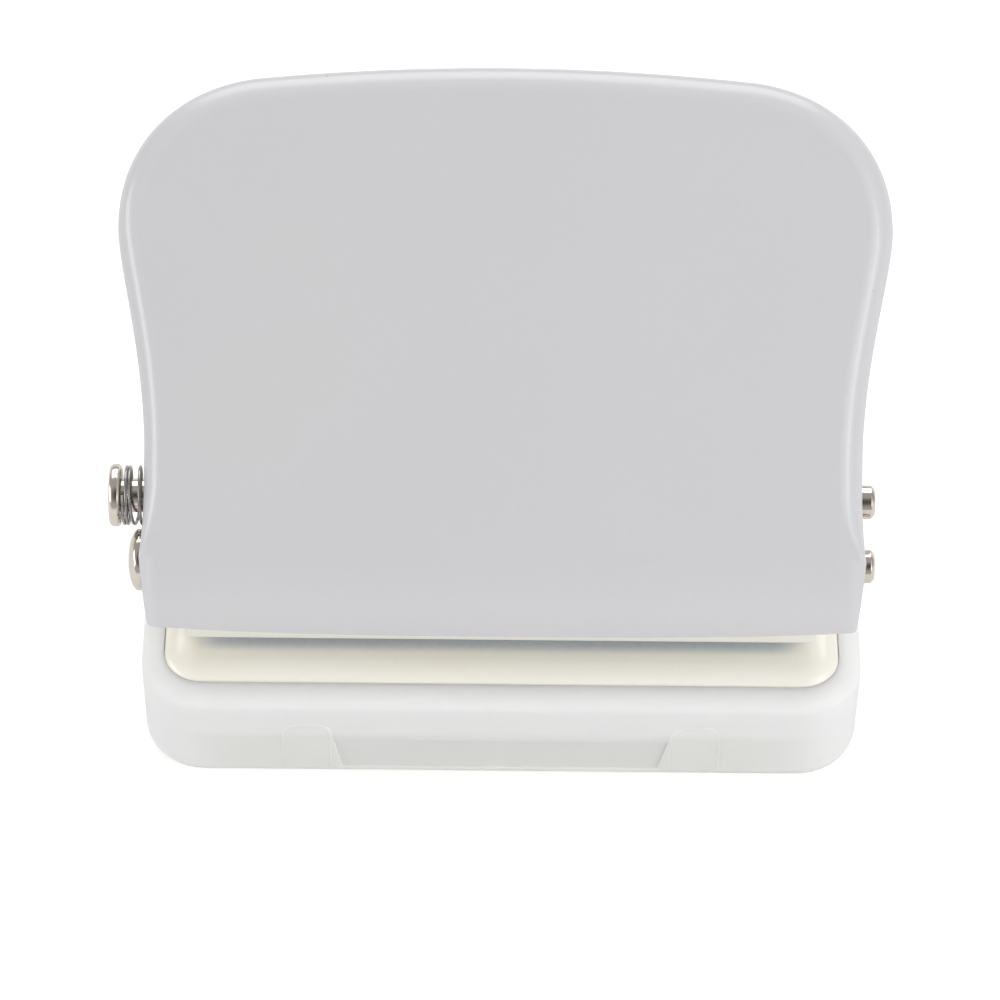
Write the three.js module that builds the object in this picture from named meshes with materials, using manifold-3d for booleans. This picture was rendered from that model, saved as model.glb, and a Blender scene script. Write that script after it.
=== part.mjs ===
// A five-hole desk punch with a palm lever, in millimetres, +Z up.
// The paper goes in at -Y and the lever's free end points to +Y, raised at rest.
// While it is built, Y = 0 is the lever's pivot axis and Z = 0 is the table.

import * as THREE from 'three';
import { mergeVertices } from 'three/addons/utils/BufferGeometryUtils.js';
import Module from 'manifold-3d';

const wasm = await Module();
wasm.setup();

// Clearances
const RUNNING_GAP = 0.3; // between pieces that turn, slide or fit into each other
const SEAT_GAP = 0.1; // between flat faces that rest on each other
const CLIP_GAP = 0.2; // each side of a clip in its groove
const SPRING_SEAT_GAP = 0.15; // at the ends of the lock spring
const OVERRUN = 2; // how far a cutter runs past what it cuts
const WELD = 1e-4; // corners closer than this are one corner

// Punching pattern
const PIN_COUNT = 5;
const PIN_PITCH = 9.5;
const PIN_DIAMETER = 5.5;
const PAPER_MARGIN = 7; // from the holes' centres to the paper stop
const PAPER_SLOT = 1.8; // height of the gap that takes the paper

// Lever and its two shafts
const LEVER_RAISED_DEGREES = 40; // from closed, with its top level, to rest
const PIVOT_RISE = 12.5; // from the top of the paper slot to the pivot axis
const SHAFT_DIAMETER = 4.5;
const SHAFT_SPACING = 8.5; // between the pivot shaft and the lock shaft
const COVER_SHEET = 1.2;
const COVER_RISE = 7; // from the shafts' axes to the top face
const COVER_REACH = 65.2; // from the pivot axis to the free end
const COVER_WIDTH = 102; // at the widest place
const WAIST_INSET = 3.7; // each side, from the widest place
const WIDEST_AT = 43.8; // from the pivot axis
const WAIST_AT = 14;
const CORNER_RUN = 18; // width of each curved corner at the free end
const CROWN_AT = 63.5;
const EDGE_ROLL = 2.3; // radius of the rolled edges
const FLANGE_DEPTH = 5; // below the top face
const EAR_DEPTH = 11.4; // below the top face, where the shafts pass
const EAR_BACK = 12.6; // from the pivot axis
const EAR_SLOPE = 9; // over which the ear rises to the flange
const EAR_FRONT = 4.4; // radius of its round front
const EAR_FRONT_START_DEGREES = 189;
const LIP_CREASE_AT = 0.5; // the lip starts here, behind the pivot axis
const LIP_LENGTH = 10.5; // along the bent sheet
const LIP_START_DEGREES = 8;
const LIP_END_DEGREES = 45;
const LIP_STEPS = 8;
const LIP_INSET = 0.6; // each side, from the waist

// Shaft ends
const SHAFT_END_STANDOUT = 1.9; // past the lever's right ear
const SHAFT_CHAMFER = 0.5;
const DOME_DIAMETER = 8.2;
const DOME_HEIGHT = 1.9;
const DOME_RIM = 0.5; // straight rim under the dome
const KNOB_DIAMETER = 8.3;
const KNOB_THICKNESS = 1.5;
const KNOB_ROUND = 0.6;
const LOCK_TRAVEL = 1.3; // the knob's push
const KNOB_PUSHED_STANDOUT = 1.9; // from the lever's left ear to the pushed knob
const NECK_DIAMETER = 3; // where the lock shaft passes the frame's ear
const LOCK_PATH_GAP = 0.4; // round the lock shaft in the frame's ears

// Lock spring
const LOCK_SPRING_WIRE = 0.42;
const LOCK_SPRING_DIAMETER = 8; // outside
const LOCK_SPRING_TURNS = 2.75;

// Retaining clips
const CLIP_THICKNESS = 0.6;
const CLIP_WIDTH = 1.5;
const GROOVE_DEPTH = 0.5;
const CLIP_OPENING_DEGREES = 80;

// Punch pins and their springs
const PIN_CLEARANCE_ABOVE_SLOT = 0.3; // the cutting end at rest
const PIN_LAND = 1.2; // above the clip
const PIN_CHAMFER = 0.4;
const PIN_NOTCH = 0.8; // depth of the V in the cutting end
const PIN_SPRING_WIRE = 0.45;
const PIN_SPRING_TURNS = 5;
const PIN_SPRING_DIAMETER = 7.4; // outside
const PRESS_GAP = 0.35; // between the lock shaft and the pins at rest
const PRESS_GAP_CLOSED = 0.29;

// Bridge frame, one folded sheet
const FRAME_SHEET = 1.2;
const EAR_SPACE = 4.1; // between the frame's and the lever's ears
const FRAME_FRONT = 3.7; // ahead of the pivot axis
const FRAME_CHANNEL = 2.8; // inner height between its two guide plates
const FRAME_FOOT = 6.5; // length of the foot behind the paper stop
const FRAME_EAR_RADIUS = 5; // round the pivot shaft
const FRAME_EAR_BACK = 13; // from the pivot axis
const FRAME_EAR_CORNER = 2.5; // its rounded upper corner
const FRAME_EAR_START_DEGREES = 198; // where the round front of the ear begins

// Rivets through the frame's foot
const RIVET_COUNT = 3;
const RIVET_SPACING = 26;
const RIVET_SHANK = 3;
const RIVET_HEAD = 5.2;
const RIVET_HEAD_HEIGHT = 1.1;
const RIVET_FLAT_HEIGHT = 0.55; // of the heads below

// Die plate under the base plate
const DIE_THICKNESS = 1.5;
const DIE_SIDE_MARGIN = 7; // past the outer holes or rivets
const DIE_FRONT_MARGIN = 4.5; // ahead of the holes' centres
const DIE_BACK_MARGIN = 3.2; // behind the rivets' centres

// Chip tray
const TRAY_DEPTH = 67;
const TRAY_HEIGHT = 16.4;
const TRAY_FRONT = 11.4; // ahead of the pivot axis
const TRAY_CORNER = 8.5;
const TRAY_WALL = 1.4;
const TRAY_FLOOR = 1.4;
const TRAY_FOOT_ROUND = 2.5; // round edge at the table
const TRAY_RIM = 1.2; // thickness of the inward rim
const CLIP_TONGUE_WIDTH = 7;
const CLIP_TONGUE_SPACING = 50;
const CLIP_SLIT = 0.7;
const CLIP_SLIT_START = 2.4; // above the table
const CLIP_SLIT_END = 11.9;
const RECESS_WIDTH = 41;
const RECESS_DEPTH = 0.5;
const RECESS_TOP = 8.2;
const RECESS_BOTTOM = 2.2;
const RECESS_TAPER = 2.4; // slant of its two ends
const RIB_THICKNESS = 1.2;
const RIB_REACH = 4.4; // from the wall's inner face
const RIB_OFFSET = 36; // outer ribs from the middle

// Base plate, a shallow pressed pan upside down
const PLATE_SHEET = 1.2;
const PLATE_MARGIN = 3.2; // inside the tray's outer face
const PLATE_SIDE = 3.45; // past the frame's ears
const PLATE_RISE = 1.8; // above the tray's rim
const PLATE_SKIRT = 8.2;
const PLATE_CORNER = 4.5;
const PLATE_EDGE_ROUND = 1.8;

// Facets
const ROUND_SEGMENTS = 24; // round a full turn of a pin or a hole
const CORNER_SEGMENTS = 4; // per half of a rounded corner
const OUTLINE_SEGMENTS = 9; // per curve of the lever's outline
const ROLL_SEGMENTS = 4;
const DOME_STEPS = 4;
const SPRING_STEPS = 8; // round one turn
const SPRING_SIDES = 5; // round the wire

// Shares of the stretch that each curve of the lever's outline spans
const BULGE_SHARE = 0.18;
const WAIST_SHARE = 0.43;
const CORNER_RISE_SHARE = 0.57;
const CORNER_RUN_SHARE = 0.57;
const CORNER_DROP_SHARE = 0.85;
const CROWN_RUN_SHARE = 0.33;
const CROWN_RISE_SHARE = 0.67;

// Places that follow from the sizes above
const plateTop = TRAY_HEIGHT + PLATE_RISE;
const plateDepth = TRAY_DEPTH - 2 * PLATE_MARGIN;
const baseMiddle = TRAY_DEPTH / 2 - TRAY_FRONT;
const slotTop = plateTop + PAPER_SLOT;
const pivotHeight = slotTop + PIVOT_RISE;
const channelTop = slotTop + 2 * FRAME_SHEET + FRAME_CHANNEL;
const leverRaised = THREE.MathUtils.degToRad(LEVER_RAISED_DEGREES);
const shaftRadius = SHAFT_DIAMETER / 2;
const pinRadius = PIN_DIAMETER / 2;
const lockRaised = {
  y: SHAFT_SPACING * Math.cos(leverRaised),
  z: SHAFT_SPACING * Math.sin(leverRaised),
};
const pinsY = (lockRaised.y + SHAFT_SPACING) / 2;
const pinTravel = lockRaised.z - PRESS_GAP + PRESS_GAP_CLOSED;
const pinTip = slotTop + PIN_CLEARANCE_ABOVE_SLOT;
const pinTop = pivotHeight + lockRaised.z - shaftRadius - PRESS_GAP;
const stopY = pinsY + PAPER_MARGIN;
const rivetsY = stopY + FRAME_SHEET + FRAME_FOOT / 2;
const earOuter = COVER_WIDTH / 2 - WAIST_INSET;
const earInner = earOuter - COVER_SHEET;
const frameOuter = earInner - EAR_SPACE;
const frameInner = frameOuter - FRAME_SHEET;
const plateWidth = 2 * (frameOuter + PLATE_SIDE);
const trayWidth = plateWidth + 2 * PLATE_MARGIN;

// Materials
function material(color, roughness, metalness, opacity = 1) {
  return new THREE.MeshStandardMaterial({
    color, roughness, metalness, opacity, transparent: opacity < 1,
  });
}
const greyPaint = () => material(0xcdcdcf, 0.3, 0);
const creamPaint = () => material(0xebe9dd, 0.4, 0);
const nickel = () => material(0xd0c8bc, 0.2, 1);
const toolSteel = () => material(0x9a9c9f, 0.35, 1);
const springSteel = () => material(0x8d8f92, 0.3, 1);
const frostedPlastic = () => material(0xe6e7e3, 0.5, 0, 0.6);

// Solids: three.js geometry in and out, with cuts and joins between
function solid(geometry) {
  const bare = geometry.clone();
  bare.deleteAttribute('normal');
  bare.deleteAttribute('uv');
  const merged = mergeVertices(bare, WELD);
  return new wasm.Manifold(new wasm.Mesh({
    numProp: 3,
    vertProperties: new Float32Array(merged.attributes.position.array),
    triVerts: new Uint32Array(merged.index.array),
  }));
}

function geometryOf(manifold) {
  const mesh = manifold.getMesh();
  const geometry = new THREE.BufferGeometry();
  geometry.setAttribute('position', new THREE.BufferAttribute(new Float32Array(mesh.vertProperties), 3));
  geometry.setIndex(new THREE.BufferAttribute(new Uint32Array(mesh.triVerts), 1));
  geometry.computeVertexNormals();
  return geometry;
}

function cut(body, ...tools) {
  return tools.reduce((rest, tool) => rest.subtract(solid(tool)), body);
}

function join(body, ...others) {
  return others.reduce((sum, other) => sum.add(solid(other)), body);
}

function box(x0, x1, y0, y1, z0, z1) {
  const geometry = new THREE.BoxGeometry(x1 - x0, y1 - y0, z1 - z0);
  return geometry.translate((x0 + x1) / 2, (y0 + y1) / 2, (z0 + z1) / 2);
}

// A prism whose outline is drawn in Y and Z, standing from x0 to x1
function prismAlongX(outline, x0, x1, curveSegments = CORNER_SEGMENTS) {
  const geometry = new THREE.ExtrudeGeometry(outline, {
    depth: x1 - x0, bevelEnabled: false, curveSegments,
  });
  geometry.rotateY(Math.PI / 2).rotateX(Math.PI / 2);
  return geometry.translate(x0, 0, 0);
}

function rodAlongX(radius, x0, x1, y = 0, z = 0) {
  const geometry = new THREE.CylinderGeometry(radius, radius, x1 - x0, ROUND_SEGMENTS);
  return geometry.rotateZ(Math.PI / 2).translate((x0 + x1) / 2, y, z);
}

function rodAlongZ(radius, z0, z1, x = 0, y = 0) {
  const geometry = new THREE.CylinderGeometry(radius, radius, z1 - z0, ROUND_SEGMENTS);
  return geometry.rotateX(Math.PI / 2).translate(x, y, (z0 + z1) / 2);
}

// A turned piece: its profile is a list of [radius, place along the axis]
function turnedAlongZ(profile) {
  const points = profile.map(([radius, along]) => new THREE.Vector2(radius, along));
  return new THREE.LatheGeometry(points, ROUND_SEGMENTS).rotateX(Math.PI / 2);
}

function turnedAlongX(profile) {
  return turnedAlongZ(profile).rotateY(Math.PI / 2);
}

function polygon(points) {
  return new THREE.Shape(points.map(([a, b]) => new THREE.Vector2(a, b)));
}

function roundedRectangle(width, depth, radius) {
  const x = width / 2;
  const y = depth / 2;
  const shape = new THREE.Shape();
  shape.moveTo(-x + radius, -y);
  shape.lineTo(x - radius, -y);
  shape.absarc(x - radius, -y + radius, radius, -Math.PI / 2, 0);
  shape.lineTo(x, y - radius);
  shape.absarc(x - radius, y - radius, radius, 0, Math.PI / 2);
  shape.lineTo(-x + radius, y);
  shape.absarc(-x + radius, y - radius, radius, Math.PI / 2, Math.PI);
  shape.lineTo(-x, -y + radius);
  shape.absarc(-x + radius, -y + radius, radius, Math.PI, 1.5 * Math.PI);
  return shape;
}

// A slab from z0 to z1 whose top and bottom edges are rounded; inset draws its outline in
function roundedSlab(outline, z0, z1, round, inset = 0, curveSegments = CORNER_SEGMENTS) {
  const geometry = new THREE.ExtrudeGeometry(outline, {
    depth: z1 - z0 - 2 * round,
    bevelEnabled: true,
    bevelThickness: round,
    bevelSize: round,
    bevelOffset: -round - inset,
    bevelSegments: ROLL_SEGMENTS,
    curveSegments,
  });
  return geometry.translate(0, 0, z0 + round);
}

function slab(outline, z0, z1, curveSegments = CORNER_SEGMENTS) {
  const geometry = new THREE.ExtrudeGeometry(outline, {
    depth: z1 - z0, bevelEnabled: false, curveSegments,
  });
  return geometry.translate(0, 0, z0);
}

// A sheet folded along a line of [y, z] points, as an outline of the given thickness
function foldedStrip(centres, thickness) {
  const half = thickness / 2;
  const side = (sign) => centres.map(([y, z], i) => {
    const before = centres[Math.max(i - 1, 0)];
    const after = centres[Math.min(i + 1, centres.length - 1)];
    const into = new THREE.Vector2(y - before[0], z - before[1]).normalize();
    const out = new THREE.Vector2(after[0] - y, after[1] - z).normalize();
    const along = i === 0 ? out : into;
    const bisector = into.clone().add(out).normalize();
    const across = new THREE.Vector2(-bisector.y, bisector.x);
    const stretch = 1 / across.dot(new THREE.Vector2(-along.y, along.x));
    return [y + sign * half * across.x * stretch, z + sign * half * across.y * stretch];
  });
  return polygon([...side(1), ...side(-1).reverse()]);
}

// One unbroken round wire along a helix about +Z, from z = 0 to the given height
function helixWire(meanRadius, wire, height, turns) {
  const rings = Math.round(turns * SPRING_STEPS);
  const rise = height - wire;
  const positions = [];
  const centres = [];
  for (let i = 0; i <= rings; i += 1) {
    const angle = (i / SPRING_STEPS) * 2 * Math.PI;
    const outward = new THREE.Vector3(Math.cos(angle), Math.sin(angle), 0);
    const centre = outward.clone().multiplyScalar(meanRadius).setZ(wire / 2 + (rise * i) / rings);
    centres.push(centre);
    for (let k = 0; k < SPRING_SIDES; k += 1) {
      const around = (k / SPRING_SIDES) * 2 * Math.PI;
      const point = centre.clone().addScaledVector(outward, (Math.cos(around) * wire) / 2);
      point.z += (Math.sin(around) * wire) / 2;
      positions.push(point.x, point.y, point.z);
    }
  }
  const index = [];
  for (let i = 0; i < rings; i += 1) {
    for (let k = 0; k < SPRING_SIDES; k += 1) {
      const next = (k + 1) % SPRING_SIDES;
      const a = i * SPRING_SIDES + k;
      const b = i * SPRING_SIDES + next;
      index.push(a, a + SPRING_SIDES, b, b, a + SPRING_SIDES, b + SPRING_SIDES);
    }
  }
  const last = rings * SPRING_SIDES;
  for (let k = 1; k < SPRING_SIDES - 1; k += 1) {
    index.push(0, k, k + 1);
    index.push(last, last + k + 1, last + k);
  }
  const geometry = new THREE.BufferGeometry();
  geometry.setAttribute('position', new THREE.Float32BufferAttribute(positions, 3));
  geometry.setIndex(index);
  geometry.computeVertexNormals();
  return { geometry, gap: leastGap(centres, wire) };
}

// The least gap between a wire's turns, measured between the points of its centre line
function leastGap(centres, wire) {
  let least = Infinity;
  for (let i = 0; i < centres.length; i += 1) {
    for (let j = i + SPRING_STEPS - 1; j < centres.length; j += 1) {
      least = Math.min(least, centres[i].distanceTo(centres[j]) - wire);
    }
  }
  return least;
}

// A flat open ring about +Z, clipped into the groove of a shaft
function retainingClip(grooveRadius, outerRadius) {
  const half = THREE.MathUtils.degToRad(CLIP_OPENING_DEGREES) / 2;
  const innerRadius = grooveRadius + CLIP_GAP;
  const shape = new THREE.Shape();
  shape.absarc(0, 0, outerRadius, half, 2 * Math.PI - half);
  shape.absarc(0, 0, innerRadius, 2 * Math.PI - half, half, true);
  return slab(shape, 0, CLIP_THICKNESS, 3 * CORNER_SEGMENTS);
}

const punch = new THREE.Group();

function addPiece(parent, name, geometry, look) {
  const mesh = new THREE.Mesh(geometry, look);
  mesh.name = name;
  parent.add(mesh);
  return mesh;
}

// Places of a row of equal steps about the middle
function row(count, step) {
  return Array.from({ length: count }, (_, i) => (i - (count - 1) / 2) * step);
}
const pinPlaces = row(PIN_COUNT, PIN_PITCH);
const rivetPlaces = row(RIVET_COUNT, RIVET_SPACING);

// Chip tray
const tray = new THREE.Group();
tray.position.y = baseMiddle;
punch.add(tray);

function trayBody() {
  const outline = roundedRectangle(trayWidth, TRAY_DEPTH, TRAY_CORNER);
  const innerWidth = trayWidth - 2 * TRAY_WALL;
  const innerDepth = TRAY_DEPTH - 2 * TRAY_WALL;
  const inner = roundedRectangle(innerWidth, innerDepth, TRAY_CORNER - TRAY_WALL);
  const rimHole = roundedRectangle(
    plateWidth + 2 * RUNNING_GAP, plateDepth + 2 * RUNNING_GAP, PLATE_CORNER + RUNNING_GAP,
  );
  const full = TRAY_HEIGHT + TRAY_FOOT_ROUND + OVERRUN;
  const half = trayWidth;
  let body = solid(roundedSlab(outline, 0, full, TRAY_FOOT_ROUND));
  body = cut(
    body,
    box(-half, half, -half, half, TRAY_HEIGHT, full + OVERRUN),
    slab(inner, TRAY_FLOOR, TRAY_HEIGHT - TRAY_RIM),
    slab(rimHole, TRAY_HEIGHT - TRAY_RIM - TRAY_WALL, TRAY_HEIGHT + OVERRUN),
  );
  const front = -TRAY_DEPTH / 2;
  const ribTop = plateTop - PLATE_SKIRT - RUNNING_GAP;
  const ribStart = innerDepth / 2 + TRAY_WALL / 2;
  const ribEnd = innerDepth / 2 - RIB_REACH;
  for (const x of [-RIB_OFFSET, 0, RIB_OFFSET]) {
    for (const end of [-1, 1]) {
      const [y0, y1] = end < 0 ? [-ribStart, -ribEnd] : [ribEnd, ribStart];
      const halfRib = RIB_THICKNESS / 2;
      body = join(body, box(x - halfRib, x + halfRib, y0, y1, TRAY_FLOOR / 2, ribTop));
    }
  }
  for (const side of [-1, 1]) {
    for (const edge of [-1, 1]) {
      const x = (side * CLIP_TONGUE_SPACING) / 2 + (edge * CLIP_TONGUE_WIDTH) / 2;
      const [x0, x1] = [x - CLIP_SLIT / 2, x + CLIP_SLIT / 2];
      const [y0, y1] = [front - OVERRUN, front + PLATE_MARGIN];
      body = cut(body, box(x0, x1, y0, y1, CLIP_SLIT_START, CLIP_SLIT_END));
    }
  }
  const wide = RECESS_WIDTH / 2;
  const recess = polygon([
    [-wide + RECESS_TAPER, RECESS_BOTTOM], [wide - RECESS_TAPER, RECESS_BOTTOM],
    [wide, RECESS_TOP], [-wide, RECESS_TOP],
  ]);
  const recessTool = slab(recess, 0, RECESS_DEPTH + OVERRUN).rotateX(Math.PI / 2);
  return cut(body, recessTool.translate(0, front + RECESS_DEPTH, 0));
}
addPiece(tray, 'chip_tray', geometryOf(trayBody()), frostedPlastic());

// Base plate
const chassis = new THREE.Group();
punch.add(chassis);

function rivetHoles(z0, z1) {
  return rivetPlaces.map((x) => rodAlongZ(RIVET_SHANK / 2 + RUNNING_GAP, z0, z1, x, rivetsY));
}

function pinHoles(z0, z1) {
  return pinPlaces.map((x) => rodAlongZ(pinRadius + RUNNING_GAP, z0, z1, x, pinsY));
}

function basePlate() {
  const outline = roundedRectangle(plateWidth, plateDepth, PLATE_CORNER);
  const bottom = plateTop - PLATE_SKIRT;
  const deep = bottom - PLATE_EDGE_ROUND - OVERRUN;
  const half = plateWidth;
  const outer = roundedSlab(outline, deep, plateTop, PLATE_EDGE_ROUND);
  const inner = roundedSlab(
    outline, deep - OVERRUN, plateTop - PLATE_SHEET, PLATE_EDGE_ROUND - PLATE_SHEET, PLATE_SHEET,
  );
  const pan = cut(solid(outer), box(-half, half, -half, half, deep - OVERRUN, bottom), inner);
  const placed = solid(geometryOf(pan).translate(0, baseMiddle, 0));
  const [z0, z1] = [plateTop - PLATE_SHEET - OVERRUN, plateTop + OVERRUN];
  return cut(placed, ...pinHoles(z0, z1), ...rivetHoles(z0, z1));
}
addPiece(chassis, 'base_plate', geometryOf(basePlate()), creamPaint());

// Die plate
const dieTop = plateTop - PLATE_SHEET - SEAT_GAP;
const dieBottom = dieTop - DIE_THICKNESS;
function diePlate() {
  const halfWidth = Math.max(pinPlaces.at(-1), rivetPlaces.at(-1)) + DIE_SIDE_MARGIN;
  const body = solid(box(
    -halfWidth, halfWidth, pinsY - DIE_FRONT_MARGIN, rivetsY + DIE_BACK_MARGIN, dieBottom, dieTop,
  ));
  const [z0, z1] = [dieBottom - OVERRUN, dieTop + OVERRUN];
  return cut(body, ...pinHoles(z0, z1), ...rivetHoles(z0, z1));
}
addPiece(chassis, 'die_plate', geometryOf(diePlate()), toolSteel());

// Bridge frame: guide channel, paper stop, foot and two ears
const footTop = plateTop + SEAT_GAP + FRAME_SHEET;

function frameChannel() {
  const half = FRAME_SHEET / 2;
  const front = -FRAME_FRONT + half;
  const lower = slotTop + half;
  const upper = channelTop - half;
  const foot = footTop - half;
  const outline = foldedStrip([
    [stopY - RUNNING_GAP, lower], [front, lower], [front, upper],
    [stopY + half, upper], [stopY + half, foot], [stopY + half + FRAME_FOOT, foot],
  ], FRAME_SHEET);
  return prismAlongX(outline, -frameOuter, frameOuter);
}

function frameEar(side) {
  const from = channelTop - FRAME_SHEET - pivotHeight;
  const cornerY = FRAME_EAR_BACK - FRAME_EAR_CORNER;
  const cornerZ = FRAME_EAR_RADIUS - FRAME_EAR_CORNER;
  const start = THREE.MathUtils.degToRad(FRAME_EAR_START_DEGREES);
  const outline = new THREE.Shape();
  outline.moveTo(-FRAME_FRONT, from);
  outline.absarc(0, 0, FRAME_EAR_RADIUS, start, Math.PI / 2, true);
  outline.lineTo(cornerY, FRAME_EAR_RADIUS);
  outline.absarc(cornerY, cornerZ, FRAME_EAR_CORNER, Math.PI / 2, 0, true);
  outline.lineTo(FRAME_EAR_BACK, from);
  const [x0, x1] = side < 0 ? [-frameOuter, -frameInner] : [frameInner, frameOuter];
  return prismAlongX(outline, x0, x1).translate(0, 0, pivotHeight);
}

// The lock shaft's way through one ear: an arc between its closed and its raised place
function lockPath(side) {
  const [x0, x1] = side < 0
    ? [-frameOuter - OVERRUN, -frameInner + OVERRUN]
    : [frameInner - OVERRUN, frameOuter + OVERRUN];
  const full = shaftRadius + LOCK_PATH_GAP;
  const half = side < 0 ? NECK_DIAMETER / 2 + RUNNING_GAP : full;
  const band = new THREE.Shape();
  band.absarc(0, 0, SHAFT_SPACING + half, 0, leverRaised);
  band.absarc(0, 0, SHAFT_SPACING - half, leverRaised, 0, true);
  return [
    rodAlongX(full, x0, x1, SHAFT_SPACING, pivotHeight),
    rodAlongX(full, x0, x1, lockRaised.y, pivotHeight + lockRaised.z),
    prismAlongX(band, x0, x1, 2 * CORNER_SEGMENTS).translate(0, 0, pivotHeight),
  ];
}

function bridgeFrame() {
  const body = join(solid(frameChannel()), frameEar(-1), frameEar(1));
  const half = frameOuter + OVERRUN;
  return cut(
    body,
    rodAlongX(shaftRadius + RUNNING_GAP, -half, half, 0, pivotHeight),
    ...lockPath(-1),
    ...lockPath(1),
    ...pinHoles(slotTop - OVERRUN, channelTop + OVERRUN),
    ...rivetHoles(plateTop - OVERRUN, footTop + OVERRUN),
  );
}
addPiece(chassis, 'bridge_frame', geometryOf(bridgeFrame()), creamPaint());

// Rivets: a domed head above the foot and a flat head below the die plate
function rivet(x) {
  const shank = RIVET_SHANK / 2;
  const head = RIVET_HEAD / 2;
  const top = footTop + SEAT_GAP;
  const bottom = dieBottom - SEAT_GAP;
  return turnedAlongZ([
    [0, bottom - RIVET_FLAT_HEIGHT], [head, bottom - RIVET_FLAT_HEIGHT], [head, bottom],
    [shank, bottom], [shank, top], [head, top],
    [head * Math.cos(Math.PI / 6), top + RIVET_HEAD_HEIGHT / 2],
    [head * Math.cos(Math.PI / 3), top + RIVET_HEAD_HEIGHT * Math.sin(Math.PI / 3)],
    [0, top + RIVET_HEAD_HEIGHT],
  ]).translate(x, rivetsY, 0);
}
rivetPlaces.forEach((x, i) => addPiece(chassis, `frame_rivet_${i + 1}`, rivet(x), toolSteel()));

// Punch pins, their clips and their springs
const pinGrooveRadius = pinRadius - GROOVE_DEPTH;
const pinClipBottom = pinTop - PIN_LAND - CLIP_GAP - CLIP_THICKNESS;
const springSeat = channelTop + SEAT_GAP;

function punchPin() {
  const grooveBottom = pinClipBottom - CLIP_GAP;
  const grooveTop = pinTop - PIN_LAND;
  const turned = turnedAlongZ([
    [0, pinTip], [pinRadius, pinTip], [pinRadius, grooveBottom], [pinGrooveRadius, grooveBottom],
    [pinGrooveRadius, grooveTop], [pinRadius, grooveTop], [pinRadius, pinTop - PIN_CHAMFER],
    [pinRadius - PIN_CHAMFER, pinTop], [0, pinTop],
  ]);
  const wide = PIN_DIAMETER;
  const notch = polygon([
    [-pinRadius, pinTip], [0, pinTip + PIN_NOTCH], [pinRadius, pinTip], [0, pinTip - wide],
  ]);
  return cut(solid(turned), prismAlongX(notch, -wide, wide));
}

const pinSpringHeight = pinClipBottom - SEAT_GAP - springSeat;
const pinSpringRadius = (PIN_SPRING_DIAMETER - PIN_SPRING_WIRE) / 2;
const pinSpring = helixWire(pinSpringRadius, PIN_SPRING_WIRE, pinSpringHeight, PIN_SPRING_TURNS);
const pinGeometry = geometryOf(punchPin());
const pinClipGeometry = retainingClip(pinGrooveRadius, pinGrooveRadius + CLIP_GAP + CLIP_WIDTH);
pinPlaces.forEach((x, i) => {
  const number = i + 1;
  const station = new THREE.Group();
  station.position.set(x, pinsY, 0);
  chassis.add(station);
  addPiece(station, `punch_pin_${number}`, pinGeometry.clone(), toolSteel());
  const clip = addPiece(station, `punch_clip_${number}`, pinClipGeometry.clone(), springSteel());
  clip.position.z = pinClipBottom;
  clip.rotation.z = Math.PI / 2;
  const spring = addPiece(station, `punch_spring_${number}`, pinSpring.geometry.clone(), springSteel());
  spring.position.z = springSeat;
});
console.log('punch spring: least gap between its turns', pinSpring.gap.toFixed(3), 'mm');

// Lever, drawn closed about its pivot axis and then raised
const lever = new THREE.Group();
lever.position.z = pivotHeight;
lever.rotation.x = leverRaised;
punch.add(lever);

function lipSlope(startDegrees, share) {
  return THREE.MathUtils.degToRad(THREE.MathUtils.lerp(startDegrees, LIP_END_DEGREES, share));
}

// The lip's outer face as [y, z] points from the crease to its end
function lipCurve() {
  const points = [[LIP_CREASE_AT, COVER_RISE]];
  const step = LIP_LENGTH / LIP_STEPS;
  for (let i = 0; i < LIP_STEPS; i += 1) {
    const slope = lipSlope(LIP_START_DEGREES, (i + 0.5) / LIP_STEPS);
    const [y, z] = points[points.length - 1];
    points.push([y - step * Math.cos(slope), z - step * Math.sin(slope)]);
  }
  return points;
}

// The lip's inner face, one sheet below the outer one
function lipInside(outer) {
  return outer.map(([y, z], i) => {
    const slope = lipSlope(LIP_START_DEGREES / 2, i / LIP_STEPS);
    return [y + COVER_SHEET * Math.sin(slope), z - COVER_SHEET * Math.cos(slope)];
  });
}

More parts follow.
